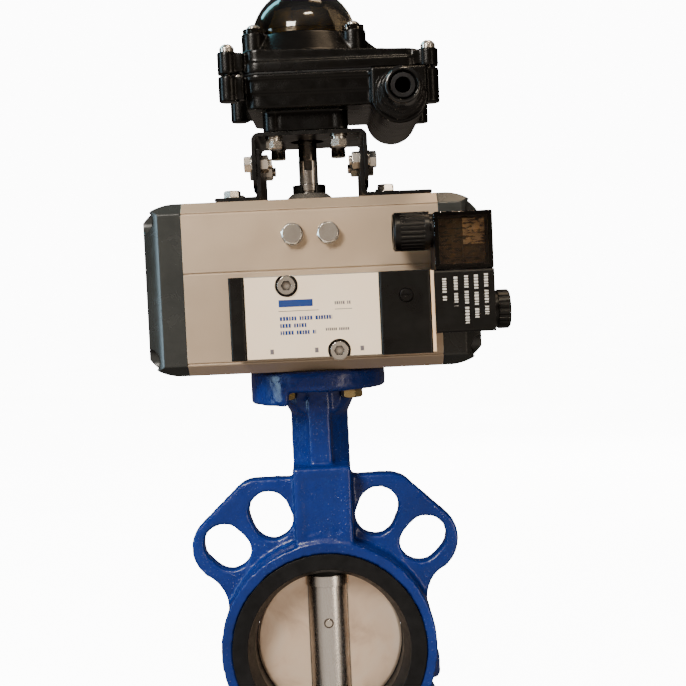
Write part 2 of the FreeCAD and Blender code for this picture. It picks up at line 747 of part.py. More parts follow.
def solenoid_body():
    """The spool valve's body with its bore, its ports and its mounting holes."""
    back = -actuator_half_width
    heights = (solenoid_bottom, solenoid_top)
    solid = block((solenoid_left, solenoid_right), (solenoid_front + 1.5, back - 0.4), heights)
    spool_left, spool_right = spool_bore_ends()
    spool_y = coil_axis_y
    cuts = [rod(6.0, (spool_left - 10, spool_y, solenoid_mid), (spool_right + 10, spool_y, solenoid_mid))]
    for side in (-1, 1):
        x = side * namur_pitch_x / 2
        z = solenoid_mid - side * namur_pitch_z / 2
        cuts.append(rod(2.7, (x, -80, z), (x, -30, z)))
        cuts.append(rod(5.3, (x, -80, z), (x, solenoid_front + 4.5, z)))
        cuts.append(rod(3.2, (x, spool_y + 2, solenoid_mid), (x, back + 1, solenoid_mid)))
        cuts.append(ring(7.6, 4.6, (x, back - 2.0, solenoid_mid), (x, back + 1, solenoid_mid)))
    for port_x, radius in port_places():
        cuts.append(rod(radius, (port_x, spool_y, solenoid_bottom - 1), (port_x, spool_y, solenoid_bottom + 9)))
        cuts.append(rod(2.6, (port_x, spool_y, solenoid_bottom), (port_x, spool_y, solenoid_mid)))
    return without(solid, cuts)


def port_places():
    """X places and thread radii of the exhaust, supply and exhaust ports underneath."""
    return ((-22.0, 4.9), (0.0, 5.6), (22.0, 4.9))


def solenoid_cover():
    """The spool valve's left end cover."""
    back = -actuator_half_width
    outer = solenoid_left - 7.4
    hole_z = solenoid_top - 6
    cover = block((outer, solenoid_left), (solenoid_front + 0.5, back - 0.6), (solenoid_bottom, solenoid_top))
    cover = rounded(cover, 1.2, runs_along(z_axis))
    return cover.cut(rod(1.7, (outer - 1, -44, hole_z), (outer + 2, -44, hole_z)))


def label_plate():
    """A thin printed plate on the spool valve's front, with holes for the mounting screws."""
    plate = block((solenoid_left + 0.3, solenoid_right - 0.3), (solenoid_front + 0.7, solenoid_front + 1.5),
                  (solenoid_bottom + 0.4, solenoid_top - 0.4))
    holes = []
    for side in (-1, 1):
        x = side * namur_pitch_x / 2
        z = solenoid_mid - side * namur_pitch_z / 2
        holes.append(rod(5.5, (x, -80, z), (x, -60, z)))
    return without(plate, holes)


def override_place():
    return 45.0, solenoid_mid + 9.0


def pilot_block():
    """The pilot valve's block between the spool valve and the coil."""
    back = -actuator_half_width
    solid = block((solenoid_right, pilot_right), (solenoid_front, back - 0.6), (solenoid_bottom, solenoid_top))
    solid = rounded(solid, 1.2, runs_along(z_axis))
    button_x, button_z = override_place()
    cuts = [
        rod(6.0, (solenoid_right - 1, coil_axis_y, solenoid_mid), (solenoid_right + 6, coil_axis_y, solenoid_mid)),
        rod(1.5, (solenoid_right, coil_axis_y, solenoid_mid), (pilot_right + 1, coil_axis_y, solenoid_mid)),
        rod(3.3, (button_x, solenoid_front - 1, button_z), (button_x, solenoid_front + 9, button_z)),
    ]
    return without(solid, cuts)


def override_button():
    button_x, button_z = override_place()
    button = rod(3.0, (button_x, solenoid_front - 0.9, button_z), (button_x, solenoid_front + 5.5, button_z))
    slot = block((button_x - 2.2, button_x + 2.2), (solenoid_front - 2, solenoid_front - 0.1),
                 (button_z - 0.4, button_z + 0.4))
    return button.cut(slot)


def socket_screw(radius, x, seat_y, z, tip_y, washer_radius):
    """A socket cap screw along Y with a washer under its head, its head towards the front."""
    head_radius = radius * 1.7
    washer = ring(washer_radius, radius + clearance, (x, seat_y, z), (x, seat_y - 0.9, z))
    head_start = seat_y - 0.9
    head = rod(head_radius, (x, head_start, z), (x, head_start - 2 * radius, z))
    shank = rod(radius, (x, head_start, z), (x, tip_y, z))
    socket = prism(1.8 * radius, (x, head_start - radius, z), (x, head_start - 3 * radius, z))
    return [joined([head, shank]).cut(socket), washer]


def solenoid_screws():
    screws = []
    for side in (-1, 1):
        x = side * namur_pitch_x / 2
        z = solenoid_mid - side * namur_pitch_z / 2
        screws += socket_screw(2.5, x, solenoid_front + 4.5, z, -33.0, 5.0)
    return group(screws)


def o_rings():
    """The static rubber rings: stem, end caps and the spool valve's two air joints."""
    rings = []
    for groove_z in (84.0, 92.0):
        low = groove_z + 0.3
        rings.append(ring(stem_radius + 2.1, stem_radius + clearance, (0, 0, low), (0, 0, low + 2.6)))
    for side in (-1, 1):
        x = side * actuator_half_length
        rings.append(ring(34.1, 32.4, (x, 0, actuator_mid), (x + side * 1.4, 0, actuator_mid)))
        air_x = side * namur_pitch_x / 2
        face = -actuator_half_width
        rings.append(ring(7.4, 4.8, (air_x, face - 1.9, solenoid_mid), (air_x, face, solenoid_mid)))
    return group(rings)


def spool():
    spool_left, spool_right = spool_bore_ends()
    left = spool_left + 9
    right = spool_right - 1
    profile = rod(3.0, (left, coil_axis_y, solenoid_mid), (right, coil_axis_y, solenoid_mid))
    lands = [profile]
    land_width = 5.0
    land_count = 4
    pitch = (right - left - land_width) / (land_count - 1)
    for index in range(land_count):
        start = left + index * pitch
        lands.append(rod(5.9, (start, coil_axis_y, solenoid_mid), (start + land_width, coil_axis_y, solenoid_mid)))
    return joined(lands)


def coil_spring(radius, wire, start, length, turns, direction):
    """A compression spring as a swept helix with its axis along a direction."""
    helix = Part.makeHelix(length / turns, length, radius)
    first = helix.Vertexes[0].Point
    section = Part.Wire(Part.makeCircle(wire, first, Vector(0, 1, 0)))
    solid = Part.Wire(helix).makePipeShell([section], True, True)
    solid.Placement = FreeCAD.Placement(Vector(*start), FreeCAD.Rotation(z_axis, Vector(*direction)))
    return solid


def spool_spring():
    spool_left = spool_bore_ends()[0]
    return coil_spring(4.6, 0.5, (spool_left + 0.7 - 4.0, coil_axis_y, solenoid_mid), 11.5, 5, (1, 0, 0))


def armature_tube():
    """The guide tube of the pilot's plunger, with a threaded end for the coil nut."""
    tube = rod(5.0, (pilot_right, coil_axis_y, solenoid_mid), (89.0, coil_axis_y, solenoid_mid))
    stud = rod(3.5, (89.0, coil_axis_y, solenoid_mid), (94.2, coil_axis_y, solenoid_mid))
    hollow = rod(4.0, (pilot_right - 1, coil_axis_y, solenoid_mid), (84.0, coil_axis_y, solenoid_mid))
    return joined([tube, stud]).cut(hollow)


def plunger():
    return rod(3.9, (pilot_right + 1.2, coil_axis_y, solenoid_mid), (76.0, coil_axis_y, solenoid_mid)).cut(
        rod(2.6, (70.0, coil_axis_y, solenoid_mid), (77.0, coil_axis_y, solenoid_mid)))


def plunger_spring():
    return coil_spring(1.9, 0.35, (70.5, coil_axis_y, solenoid_mid), 13.0, 6, (1, 0, 0))


def coil():
    """The moulded coil round the armature tube."""
    solid = block((coil_left, coil_right), (-70.5, -41.5), (166.0, 196.0))
    solid = rounded(solid, 1.5, runs_along(x_axis))
    return solid.cut(rod(5.2, (50, coil_axis_y, solenoid_mid), (100, coil_axis_y, solenoid_mid)))


def coil_yoke():
    """The metal plate between the pilot block and the coil."""
    plate = block((pilot_right, coil_left), (-69.5, -42.5), (solenoid_bottom + 0.5, solenoid_top - 0.5))
    return plate.cut(rod(5.2, (50, coil_axis_y, solenoid_mid), (100, coil_axis_y, solenoid_mid)))


def coil_nut():
    """The knurled nut that holds the coil on the armature tube."""
    radius = 9.6
    start = coil_right + 0.2
    body = rod(radius - 1.2, (start, coil_axis_y, solenoid_mid), (90.0, coil_axis_y, solenoid_mid))
    grip = rod(radius, (90.0, coil_axis_y, solenoid_mid), (coil_nut_end, coil_axis_y, solenoid_mid))
    grip = grip.makeChamfer(0.8, [edge for edge in grip.Edges if edge.BoundBox.XMin > coil_nut_end - 0.1])
    cuts = [rod(3.6, (88.9, coil_axis_y, solenoid_mid), (94.6, coil_axis_y, solenoid_mid))]
    cuts.append(rod(5.1, (coil_right, coil_axis_y, solenoid_mid), (89.1, coil_axis_y, solenoid_mid)))
    flutes = 18
    for index in range(flutes):
        angle = 2 * math.pi * index / flutes
        y = coil_axis_y + (radius + 0.5) * math.cos(angle)
        z = solenoid_mid + (radius + 0.5) * math.sin(angle)
        cuts.append(rod(1.1, (89.5, y, z), (98.0, y, z)))
    return without(joined([body, grip]), cuts)


def connector_housing():
    """The plug-in connector's open housing on top of the coil."""
    heights = (connector_bottom, connector_top)
    solid = block((connector_left, connector_right), (connector_front + 2, connector_back), heights)
    solid = rounded(solid, 1.0, runs_along(y_axis))
    hollow = block((connector_left + 2, connector_right - 2), (connector_front + 1, connector_back - 2.5),
                   (connector_bottom + 2, connector_top - 2))
    left = connector_left
    entry = rod(6.0, (left - 1, coil_axis_y, connector_gland_z), (left + 3, coil_axis_y, connector_gland_z))
    snout = ring(8.2, 6.0, (left - 6, coil_axis_y, connector_gland_z), (left, coil_axis_y, connector_gland_z))
    return joined([solid.cut(hollow).cut(entry), snout])


def connector_cover():
    """The smoky lid that closes the connector's front."""
    heights = (connector_bottom, connector_top)
    lid = block((connector_left, connector_right), (connector_front, connector_front + 2), heights)
    lid = rounded(lid, 1.0, runs_along(y_axis))
    front_edges = [edge for edge in lid.Edges if edge.BoundBox.YMax < connector_front + 0.1]
    return lid.makeFillet(0.5, front_edges)


def connector_board():
    """The circuit board with its lamp, its terminals and the suppressor."""
    left, right = connector_left, connector_right
    low, high = connector_bottom, connector_top
    board = block((left + 3, right - 3), (-60, -58.4), (low + 3, high - 3))
    lamp = rod(1.5, (right - 8, -60, high - 9), (right - 8, -65, high - 9))
    terminals = block((left + 5, left + 17), (-58.4, -50), (low + 4, low + 12))
    chip = block((right - 14, right - 6), (-62, -60), (low + 6, low + 11))
    return joined([board, lamp, terminals, chip])


def connector_gland():
    """The connector's ribbed gland nut, pointing to the left, with a smooth rim at each end."""
    y = coil_axis_y
    z = connector_gland_z
    start = connector_left - 1.5
    end = 40.5
    nut = rod(9.5, (start, y, z), (end, y, z))
    nut = nut.makeChamfer(1.0, [edge for edge in nut.Edges if edge.BoundBox.XMax < end + 0.1])
    cuts = [rod(8.3, (start + 1, y, z), (start - 5, y, z))]
    cuts.append(rod(5.9, (start - 6, y, z), (end - 1, y, z)))
    ribs = 26
    for index in range(ribs):
        angle = 2 * math.pi * index / ribs
        rib_y = y + 9.9 * math.cos(angle)
        rib_z = z + 9.9 * math.sin(angle)
        cuts.append(rod(0.8, (start - 2.5, rib_y, rib_z), (end + 3.5, rib_y, rib_z)))
    return without(nut, cuts)


# ---------------------------------------------------------------- bracket
def folded_sheet(points, half_depth, bend):
    """A strip of sheet bent to a centre line given in X and Z, square to Y."""
    line = [Vector(x, 0, z) for x, z in points]
    edges = []
    position = line[0]
    for before, corner, after in zip(line, line[1:], line[2:]):
        start, middle, end = rounded_corner(before, corner, after, bend)
        edges.append(Part.makeLine(position, start))
        edges.append(Part.Arc(start, middle, end).toShape())
        position = end
    edges.append(Part.makeLine(position, line[-1]))
    strip = Part.Wire(edges).makeOffset2D(sheet / 2, 0, False, False, True)
    face = Part.Face(strip)
    face.translate(Vector(0, -half_depth, 0))
    return face.extrude(Vector(0, 2 * half_depth, 0))


def side_bolt_places():
    return [(y, side_bolt_z) for y in (-side_bolt_y, side_bolt_y)]


def rounded_below(shape, radius, height):
    """Round the sheet's lower corners: the edges along X below a height."""
    along_x = runs_along(x_axis)
    return rounded(shape, radius, lambda edge: along_x(edge) and edge.BoundBox.ZMax < height)


def bracket_plate():
    """The upper part: a top plate with two sides folded down outside the legs."""
    half = bracket_half_width - sheet / 2
    top = plate_top - sheet / 2
    left = bracket_shift - half
    right = bracket_shift + half
    corners = [(left, plate_bottom), (left, top), (right, top), (right, plate_bottom)]
    shape = folded_sheet(corners, plate_half_depth, 3.0)
    ends = block((-50, 50), (-40, 40), (plate_bottom, plate_top + 1))
    shape = rounded_below(shape.common(ends), 9.0, plate_bottom + 1)
    cuts = [rod(9.0, (0, 0, 260), (0, 0, 280))]
    for x_side in (-1, 1):
        for y_side in (-1, 1):
            x = x_side * box_bolt_x
            y = y_side * box_bolt_y
            cuts.append(rod(2.7, (x, y, 260), (x, y, 280)))
    for y, z in side_bolt_places():
        cuts.append(rod(2.7, (-50, y, z), (50, y, z)))
    return without(shape, cuts)


def leg_inner(side):
    """The X place of a leg's inner face."""
    return bracket_shift + side * (bracket_half_width - 2 * sheet - 0.1)


def bracket_leg(side, foot_end):
    """One leg: a foot on the actuator folded up into a side plate."""
    middle = leg_inner(side) + side * sheet / 2
    foot_z = actuator_mid + actuator_half_height + sheet / 2
    shape = folded_sheet([(foot_end, foot_z), (middle, foot_z), (middle, leg_top)], leg_half_depth, 3.0)
    cuts = []
    for y in (-foot_pitch_y / 2, foot_pitch_y / 2):
        x = side * foot_pitch_x / 2
        cuts.append(rod(2.7, (x, y, 230), (x, y, 245)))
    for y, z in side_bolt_places():
        cuts.append(rod(2.7, (-50, y, z), (50, y, z)))
    return without(shape, cuts)


def bracket_bolts():
    """Foot screws into the actuator, and side bolts with their nuts inside."""
    pieces = []
    foot_top = actuator_mid + actuator_half_height + sheet
    for x_side in (-1, 1):
        for y_side in (-1, 1):
            x = x_side * foot_pitch_x / 2
            y = y_side * foot_pitch_y / 2
            washer = ring(4.9, 2.5 + clearance, (x, y, foot_top), (x, y, foot_top + 1.0))
            head = hex_head(8.0, (x, y, foot_top + 1.0), (x, y, foot_top + 4.6), 20)
            shank = rod(2.5, (x, y, 229.5), (x, y, foot_top + 1.0))
            pieces += [washer, joined([head, shank])]
        outer = bracket_shift + x_side * bracket_half_width
        inner = leg_inner(x_side)
        for y, z in side_bolt_places():
            washer = ring(4.9, 2.5 + clearance, (outer, y, z), (outer + x_side * 1.0, y, z))
            head_start = outer + x_side * 1.0
            head = hex_head(8.0, (head_start, y, z), (head_start + x_side * 3.6, y, z), 25)
            shank = rod(2.5, (inner - x_side * 5.6, y, z), (head_start, y, z))
            nut = hex_head(8.0, (inner, y, z), (inner - x_side * 4.0, y, z), 10)
            pieces += [washer, joined([head, shank]), nut.cut(rod(2.5 + clearance, (-60, y, z), (60, y, z)))]
    return group(pieces)


def box_bolts():
    """Bolts with plain and lock washers that hold the switch box's feet to the plate from below."""
    pieces = []
    under = plate_top - sheet
    for x_side in (-1, 1):
        for y_side in (-1, 1):
            x = x_side * box_bolt_x
            y = y_side * box_bolt_y
            washer = ring(4.5, 2.5 + clearance, (x, y, under), (x, y, under - 1.0))
            lock_washer = ring(3.9, 2.5 + clearance, (x, y, under - 1.0), (x, y, under - 2.4))
            head = hex_head(8.0, (x, y, under - 2.4), (x, y, under - 6.2), 30)
            shank = rod(2.5, (x, y, under - 2.4), (x, y, plate_top + 9.5))
            pieces += [washer, lock_washer, joined([head, shank])]
    return group(pieces)


# ---------------------------------------------------------------- limit-switch box
def lug_places():
    """The four lid-bolt lugs: centre X and Y, then the lowest and highest Z."""
    return [(x, y, low, high) for x, low, high in (left_lug, right_lug) for y in (-lug_y, lug_y)]


def lug(x, y, low, high):
    """A lug and the narrow web that joins it to the casing."""
    inward = 8 if x < 0 else -8
    web = block((x, x + inward), (y - 3.2, y + 3.2), (low + 1, high - 0.6))
    return [rod(lug_radius, (x, y, low), (x, y, high)), web]


def dome_screw_places():
    return [(x, y) for x in (-24.5, 26.5) for y in (-22.0, 22.0)]


def box_shell(low, high, inset=0.0):
    half_depth = box_half_depth - inset
    shell = block((box_left + inset, box_right - inset), (-half_depth, half_depth), (low, high))
    return rounded(shell, box_corner - inset, runs_along(z_axis))


def box_cavity(low, high, wall):
    half_depth = box_half_depth - wall
    cavity = block((box_left + wall, box_right - wall), (-half_depth, half_depth), (low, high))
    return rounded(cavity, box_corner - wall, runs_along(z_axis))


def switch_base():
    """The switch box's lower casing with its feet, its lugs and the cable-entry barrel."""
    top = box_seam - 0.5
    band_top = box_seam - 3.2
    band_bottom = box_seam - 9.6
    solids = [
        box_shell(band_top, top), box_shell(band_bottom, band_top, 1.0), box_shell(box_bottom, band_bottom, 2.0)
    ]
    for x, y, low, _ in lug_places():
        solids += lug(x, y, low, top)
    for x_side in (-1, 1):
        for y_side in (-1, 1):
            x = x_side * box_bolt_x
            y = y_side * box_bolt_y
            solids.append(rod(5.2, (x, y, plate_top), (x, y, box_bottom + 1)))
    solids.append(block((-13.0, 13.0), (-30, 30), (plate_top, box_bottom + 1)))
    barrel_front = -46.0
    barrel_back = 43.0
    barrel = rod(barrel_radius, (gland_x, barrel_front, gland_z), (gland_x, barrel_back, gland_z))
    solids.append(barrel.cut(block((gland_x - 20, gland_x + 20), (-60, 60), (top, top + 10))))
    arch = (gland_x - barrel_radius + 0.2, gland_x + barrel_radius - 0.2)
    solids.append(block(arch, (barrel_front, -box_half_depth + 5), (gland_z - 2, top)))
    hub = rod(9.0, (0, 0, box_bottom + 2), (0, 0, 290.0))
    barrel_bore = rod(8.0, (gland_x, -60, gland_z), (gland_x, 60, gland_z))
    cuts = [box_cavity(box_bottom + 3, box_seam + 1, 4.4), barrel_bore]
    shape = joined([without(joined(solids), cuts), hub])
    cuts = [rod(switch_shaft_radius + clearance, (0, 0, plate_top - 5), (0, 0, 300))]
    for x, y, _, _ in lug_places():
        cuts.append(rod(2.1, (x, y, 288), (x, y, 300)))
    for x_side in (-1, 1):
        for y_side in (-1, 1):
            x = x_side * box_bolt_x
            y = y_side * box_bolt_y
            cuts.append(rod(2.5 + clearance, (x, y, 260), (x, y, plate_top + 10)))
    return without(shape, cuts)


def lid_gasket():
    low = box_seam - 0.5
    high = box_seam + 0.5
    cuts = [box_cavity(low - 1, high + 1, 4.4)]
    for x, y, _, _ in lug_places():
        cuts.append(rod(2.3, (x, y, low - 1), (x, y, high + 1)))
    return without(box_shell(low, high, 0.5), cuts)


def lid_ramp():
    """The concave slope from the deck down to the lid's right end."""
    start_x, end_x = 30.0, 54.0
    start_z, end_z = 320.0, 308.0
    steps = 12
    points = []
    for index in range(steps + 1):
        share = index / steps
        points.append((start_x + (end_x - start_x) * share, end_z + (start_z - end_z) * (1 - share) ** 2.4))
    points += [(end_x, box_step), (18.0, box_step), (18.0, start_z)]
    return slab(points, "y", -20.0, 20.0)


def switch_lid():
    """The lid: a stepped cover with a raised deck that carries the dome."""
    low = box_seam + 0.5
    slope = [
        (box_left, box_step), (box_right, box_step), (box_right, box_lid_right_top), (box_left, box_lid_left_top)
    ]
    cover = box_shell(box_step - 0.1, box_lid_left_top + 1, 0.9).common(slab(slope, "y", -50, 50))
    solids = [box_shell(low, box_step), cover]
    for x, y, _, high in lug_places():
        solids += lug(x, y, low, high)
    solids.append(cone(39.0, 29.5, (1, 0, box_lid_top - 1), (1, 0, deck_top)))
    for x, y in dome_screw_places():
        solids.append(rod(6.4, (x, y, box_lid_top - 1), (x, y, deck_top)))
    solids.append(lid_ramp())
    shape = joined(solids)
    limits = block((-60, 80), (-50, 50), (290, 330))
    cuts = [box_cavity(low - 1, box_lid_top - 3, 4.4)]
    cuts.append(cone(33.0, 24.5, (1, 0, box_lid_top - 3.5), (1, 0, deck_top - 2.5)))
    cuts.append(rod(switch_shaft_radius + 0.4, (0, 0, 300), (0, 0, 330)))
    for x, y, _, _ in lug_places():
        cuts.append(rod(2.3, (x, y, 290), (x, y, 315)))
    for x, y in dome_screw_places():
        cuts.append(rod(1.6, (x, y, deck_top - 8), (x, y, 330)))
    return without(shape.common(limits), cuts)


def domed_head(radius, height, x, y, z):
    """A pan head: a low dome on a short cylinder."""
    flat = rod(radius, (x, y, z), (x, y, z + height * 0.45))
    crown_radius = (radius ** 2 + (height * 0.55) ** 2) / (2 * height * 0.55)
    crown = Part.makeSphere(crown_radius, Vector(x, y, z + height - crown_radius))
    crown = crown.common(rod(radius, (x, y, z + height * 0.45), (x, y, z + height + 1)))
    return joined([flat, crown])


def cross_recess(x, y, top, size):
    arms = [
        block((x - size, x + size), (y - 0.5, y + 0.5), (top - 1.6, top + 1)),
        block((x - 0.5, x + 0.5), (y - size, y + size), (top - 1.6, top + 1)),
    ]
    return joined(arms)


def lid_bolts():
    """The lid's four screws and the dome's four smaller ones."""
    screws = []
    for x, y, _, lid_seat in lug_places():
        head = domed_head(3.7, 4.4, x, y, lid_seat)
        shank = rod(2.0, (x, y, 289), (x, y, lid_seat))
        screws.append(joined([head, shank]).cut(cross_recess(x, y, lid_seat + 4.4, 2.0)))
    dome_seat = deck_top + 2.4
    for x, y in dome_screw_places():
        head = domed_head(3.4, 2.8, x, y, dome_seat)
        shank = rod(1.5, (x, y, deck_top - 7), (x, y, dome_seat))
        screws.append(joined([head, shank]).cut(cross_recess(x, y, dome_seat + 2.8, 1.7)))
    return group(screws)


def dome():
    """The clear dome with a flange held by four screws."""
    centre = Vector(1, 0, deck_top)
    wall = 2.0
    shell = Part.makeSphere(dome_radius, centre)
    flange = rod(29.4, (1, 0, deck_top), (1, 0, deck_top + 2.4))
    ears = [rod(5.6, (x, y, deck_top), (x, y, deck_top + 2.4)) for x, y in dome_screw_places()]
    above = block((-60, 60), (-60, 60), (deck_top, deck_top + 60))
    solid = joined([shell, flange] + ears).common(above)
    cuts = [Part.makeSphere(dome_radius - wall, centre)]
    for x, y in dome_screw_places():
        cuts.append(rod(1.7, (x, y, 300), (x, y, 340)))
    return without(solid, cuts)


def indicator():
    """The position drum that shows through the dome."""
    drum = cone(20.0, 15.0, (0, 0, deck_top + 1.2), (0, 0, deck_top + 15))
    windows = []
    for turn in (0, 90):
        window = block((-22, 22), (-5, 5), (deck_top + 4, deck_top + 20))
        window = window.cut(rod(9.0, (0, 0, 320), (0, 0, 350)))
        window.rotate(origin, z_axis, turn)
        windows.append(window)
    return without(drum, windows + [rod(3.0 + clearance, (0, 0, 320), (0, 0, deck_top + 12))])


def switch_shaft():
    tongue = block((-2, 2), (-4.6, 4.6), (253.0, 258.0))
    lower = rod(switch_shaft_radius, (0, 0, 258.0), (0, 0, deck_top + 1.0))
    upper = rod(3.0, (0, 0, deck_top + 1.0), (0, 0, deck_top + 11))
    return joined([tongue, lower, upper])


def switch_cams():
    """Two adjustable cams, one for each end of the travel."""
    cams = []
    for low, nose_angle in ((291.0, 20.0), (299.5, 160.0)):
        body = rod(9.5, (0, 0, low), (0, 0, low + 5))
        nose = block((0, 11.5), (-3, 3), (low, low + 5))
        nose.rotate(origin, z_axis, nose_angle)
        cams.append(joined([body, nose]).cut(rod(switch_shaft_radius + clearance, (0, 0, 280), (0, 0, 310))))
    return group(cams)


def microswitches():
    """Two snap-action switches beside the cams, each with a hinge pin for its lever."""
    height = 6.0
    pivot_x, pivot_y = lever_pivot
    cases = []
    for low in microswitch_levels:
        case = block((-10.8, 10), (microswitch_y + 2, microswitch_y + 12), (low, low + height))
        pieces = [case, rod(0.6, (pivot_x, pivot_y, low), (pivot_x, pivot_y, low + height))]
        for lug_low in (low, low + height - 1):
            depths = (microswitch_y - 0.4, microswitch_y + 2.1)
            pieces.append(block((-10.8, -8.2), depths, (lug_low, lug_low + 1)))
        cases.append(joined(pieces))
    return group(cases)


def lever(switch_low):
    """A switch's lever: a thin strip whose eye turns on the hinge pin, clear of the cam's nose."""
    pivot_x, pivot_y = lever_pivot
    low = switch_low + 1.2
    high = switch_low + 4.8
    strip = block((pivot_x, 9.5), (microswitch_y - 0.3, microswitch_y + 0.1), (low, high))
    eye = rod(0.95, (pivot_x, pivot_y, low), (pivot_x, pivot_y, high))
    hole = rod(0.65, (pivot_x, pivot_y, low - 1), (pivot_x, pivot_y, high + 1))
    return joined([strip, eye]).cut(hole)


def terminal_strip():
    """The screw terminals on the right of the box."""
    strip = block((24, 34), (-30, 30), (288.5, 297.5))
    cuts = []
    for index in range(8):
        y = -26.25 + 7.5 * index
        cuts.append(rod(2.2, (29, y, 294), (29, y, 299)))
        cuts.append(block((23, 26), (y - 2, y + 2), (290, 293)))
    return without(strip, cuts)


def cable_gland():
    """The gland in the barrel's front: a threaded sleeve, a hexagon collar and a domed nut."""
    def at(y):
        return gland_x, y, gland_z
    sleeve = rod(7.95, at(-46.0), at(-38.0))
    collar = prism(24.0, at(-46.0), at(-51.0), 6, 30).common(rod(13.0, at(-46), at(-51)))
    washer = rod(11.2, at(-51.0), at(-52.4))
    nut = prism(20.0, at(-52.4), at(-63.0), 6, 30).common(rod(10.9, at(-52), at(-63)))
    crown = cone(9.6, 8.6, at(-63.0), at(-73.0))
    crown = crown.makeFillet(1.2, [edge for edge in crown.Edges if edge.BoundBox.YMax < -72.9])
    shape = joined([sleeve, collar, washer, nut, crown])
    mouth = cone(7.2, 6.0, at(-73.1), at(-70.5))
    return without(shape, [rod(5.9, at(-80), at(-30)), mouth])


def gland_seals():
    """The rubber sealing sleeves in the box's gland and in the connector's gland."""
    box_seal = ring(5.85, 3.8, (gland_x, -72.2, gland_z), (gland_x, -56.0, gland_z))
    seal_place = (coil_axis_y, connector_gland_z)
    connector_seal = ring(5.85, 3.2, (41.6, *seal_place), (51.0, *seal_place))
    return group([box_seal, connector_seal])


def conduit_plug():
    """The blanking plug in the barrel's unused rear entry."""
    thread = rod(7.95, (gland_x, 36.0, gland_z), (gland_x, 43.0, gland_z))
    head = hex_head(19.0, (gland_x, 43.0, gland_z), (gland_x, 46.5, gland_z), 30)
    return joined([thread, head])


# ---------------------------------------------------------------- the nodes
def nodes():
    right_cap = end_cap()
    right_piston = piston()
    right_rings = piston_rings()
    return {
        "valve_body": valve_body(),
        "seat_liner": seat_liner(),
        "disc": disc(),
        "stem": stem(),
        "taper_pin": taper_pin_shape(),
        "plain_bushes": plain_bushes(),
        "o_rings": o_rings(),
        "base_plug": base_plug(),
        "flange_bolts": flange_bolts(),
        "actuator_body": actuator_body(),
        "end_cap_right": right_cap,
        "end_cap_left": mirrored(right_cap, x_axis),
        "cap_screws": cap_screws(),
        "stop_bolts": stop_bolts(),
        "pinion": pinion(),
        "stop_cam": stop_cam(),
        "thrust_washer": thrust_washer(),
        "snap_ring": snap_ring(),
        "piston_right": right_piston,
        "piston_left": half_turn(right_piston),
        "piston_rings_right": right_rings,
        "piston_rings_left": half_turn(right_rings),
        "solenoid_body": solenoid_body(),
        "solenoid_cover": solenoid_cover(),
        "label_plate": label_plate(),
        "pilot_block": pilot_block(),
        "override_button": override_button(),
        "solenoid_screws": solenoid_screws(),
        "spool": spool(),
        "spool_spring": spool_spring(),
        "armature_tube": armature_tube(),
        "plunger": plunger(),
        "plunger_spring": plunger_spring(),
        "coil": coil(),
        "coil_yoke": coil_yoke(),
        "coil_nut": coil_nut(),
        "connector_housing": connector_housing(),
        "connector_cover": connector_cover(),
        "connector_board": connector_board(),
        "connector_gland": connector_gland(),
        "bracket_plate": bracket_plate(),
        "bracket_leg_left": bracket_leg(-1, -47.0),
        "bracket_leg_right": bracket_leg(1, 62.0),
        "bracket_bolts": bracket_bolts(),
        "box_bolts": box_bolts(),
        "switch_base": switch_base(),
        "lid_gasket": lid_gasket(),
        "switch_lid": switch_lid(),
        "lid_bolts": lid_bolts(),
        "dome": dome(),
        "indicator": indicator(),
        "switch_shaft": switch_shaft(),
        "switch_cams": switch_cams(),
        "microswitches": microswitches(),
        "lever_lower": lever(microswitch_levels[0]),
        "lever_upper": lever(microswitch_levels[1]),
        "terminal_strip": terminal_strip(),
        "cable_gland": cable_gland(),
        "gland_seals": gland_seals(),
        "conduit_plug": conduit_plug(),
    }


os.makedirs("parts", exist_ok=True)
for name, shape in nodes().items():
    shape.exportStep(f"parts/{name}.step")
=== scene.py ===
import bpy
import bmesh
import json
import math
import random
from mathutils import Matrix, Vector, noise


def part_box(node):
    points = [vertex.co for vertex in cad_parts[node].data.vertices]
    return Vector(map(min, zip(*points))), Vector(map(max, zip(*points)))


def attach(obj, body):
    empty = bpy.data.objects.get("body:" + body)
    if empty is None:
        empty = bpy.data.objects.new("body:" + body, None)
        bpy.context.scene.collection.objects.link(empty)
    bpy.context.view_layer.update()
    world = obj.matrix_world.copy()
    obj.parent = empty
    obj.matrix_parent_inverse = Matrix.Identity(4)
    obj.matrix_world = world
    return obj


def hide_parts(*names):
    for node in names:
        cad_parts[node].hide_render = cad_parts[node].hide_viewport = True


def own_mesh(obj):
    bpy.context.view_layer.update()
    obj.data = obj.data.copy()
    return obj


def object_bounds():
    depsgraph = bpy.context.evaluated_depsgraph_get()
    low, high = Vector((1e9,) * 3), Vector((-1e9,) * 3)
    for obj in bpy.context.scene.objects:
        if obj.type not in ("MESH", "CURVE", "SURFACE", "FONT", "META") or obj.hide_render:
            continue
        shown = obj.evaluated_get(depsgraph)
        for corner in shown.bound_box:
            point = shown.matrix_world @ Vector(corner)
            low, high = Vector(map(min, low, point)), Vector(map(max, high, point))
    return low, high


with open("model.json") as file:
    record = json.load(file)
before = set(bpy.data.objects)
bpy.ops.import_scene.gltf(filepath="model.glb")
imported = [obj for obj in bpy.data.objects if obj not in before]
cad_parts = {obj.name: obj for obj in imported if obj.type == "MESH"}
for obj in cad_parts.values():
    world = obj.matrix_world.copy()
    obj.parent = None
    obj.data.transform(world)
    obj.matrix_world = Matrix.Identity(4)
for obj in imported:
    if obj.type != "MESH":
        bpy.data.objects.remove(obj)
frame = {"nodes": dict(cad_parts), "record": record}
cad_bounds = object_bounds()
MM = 0.001
BACKDROP = 12.0


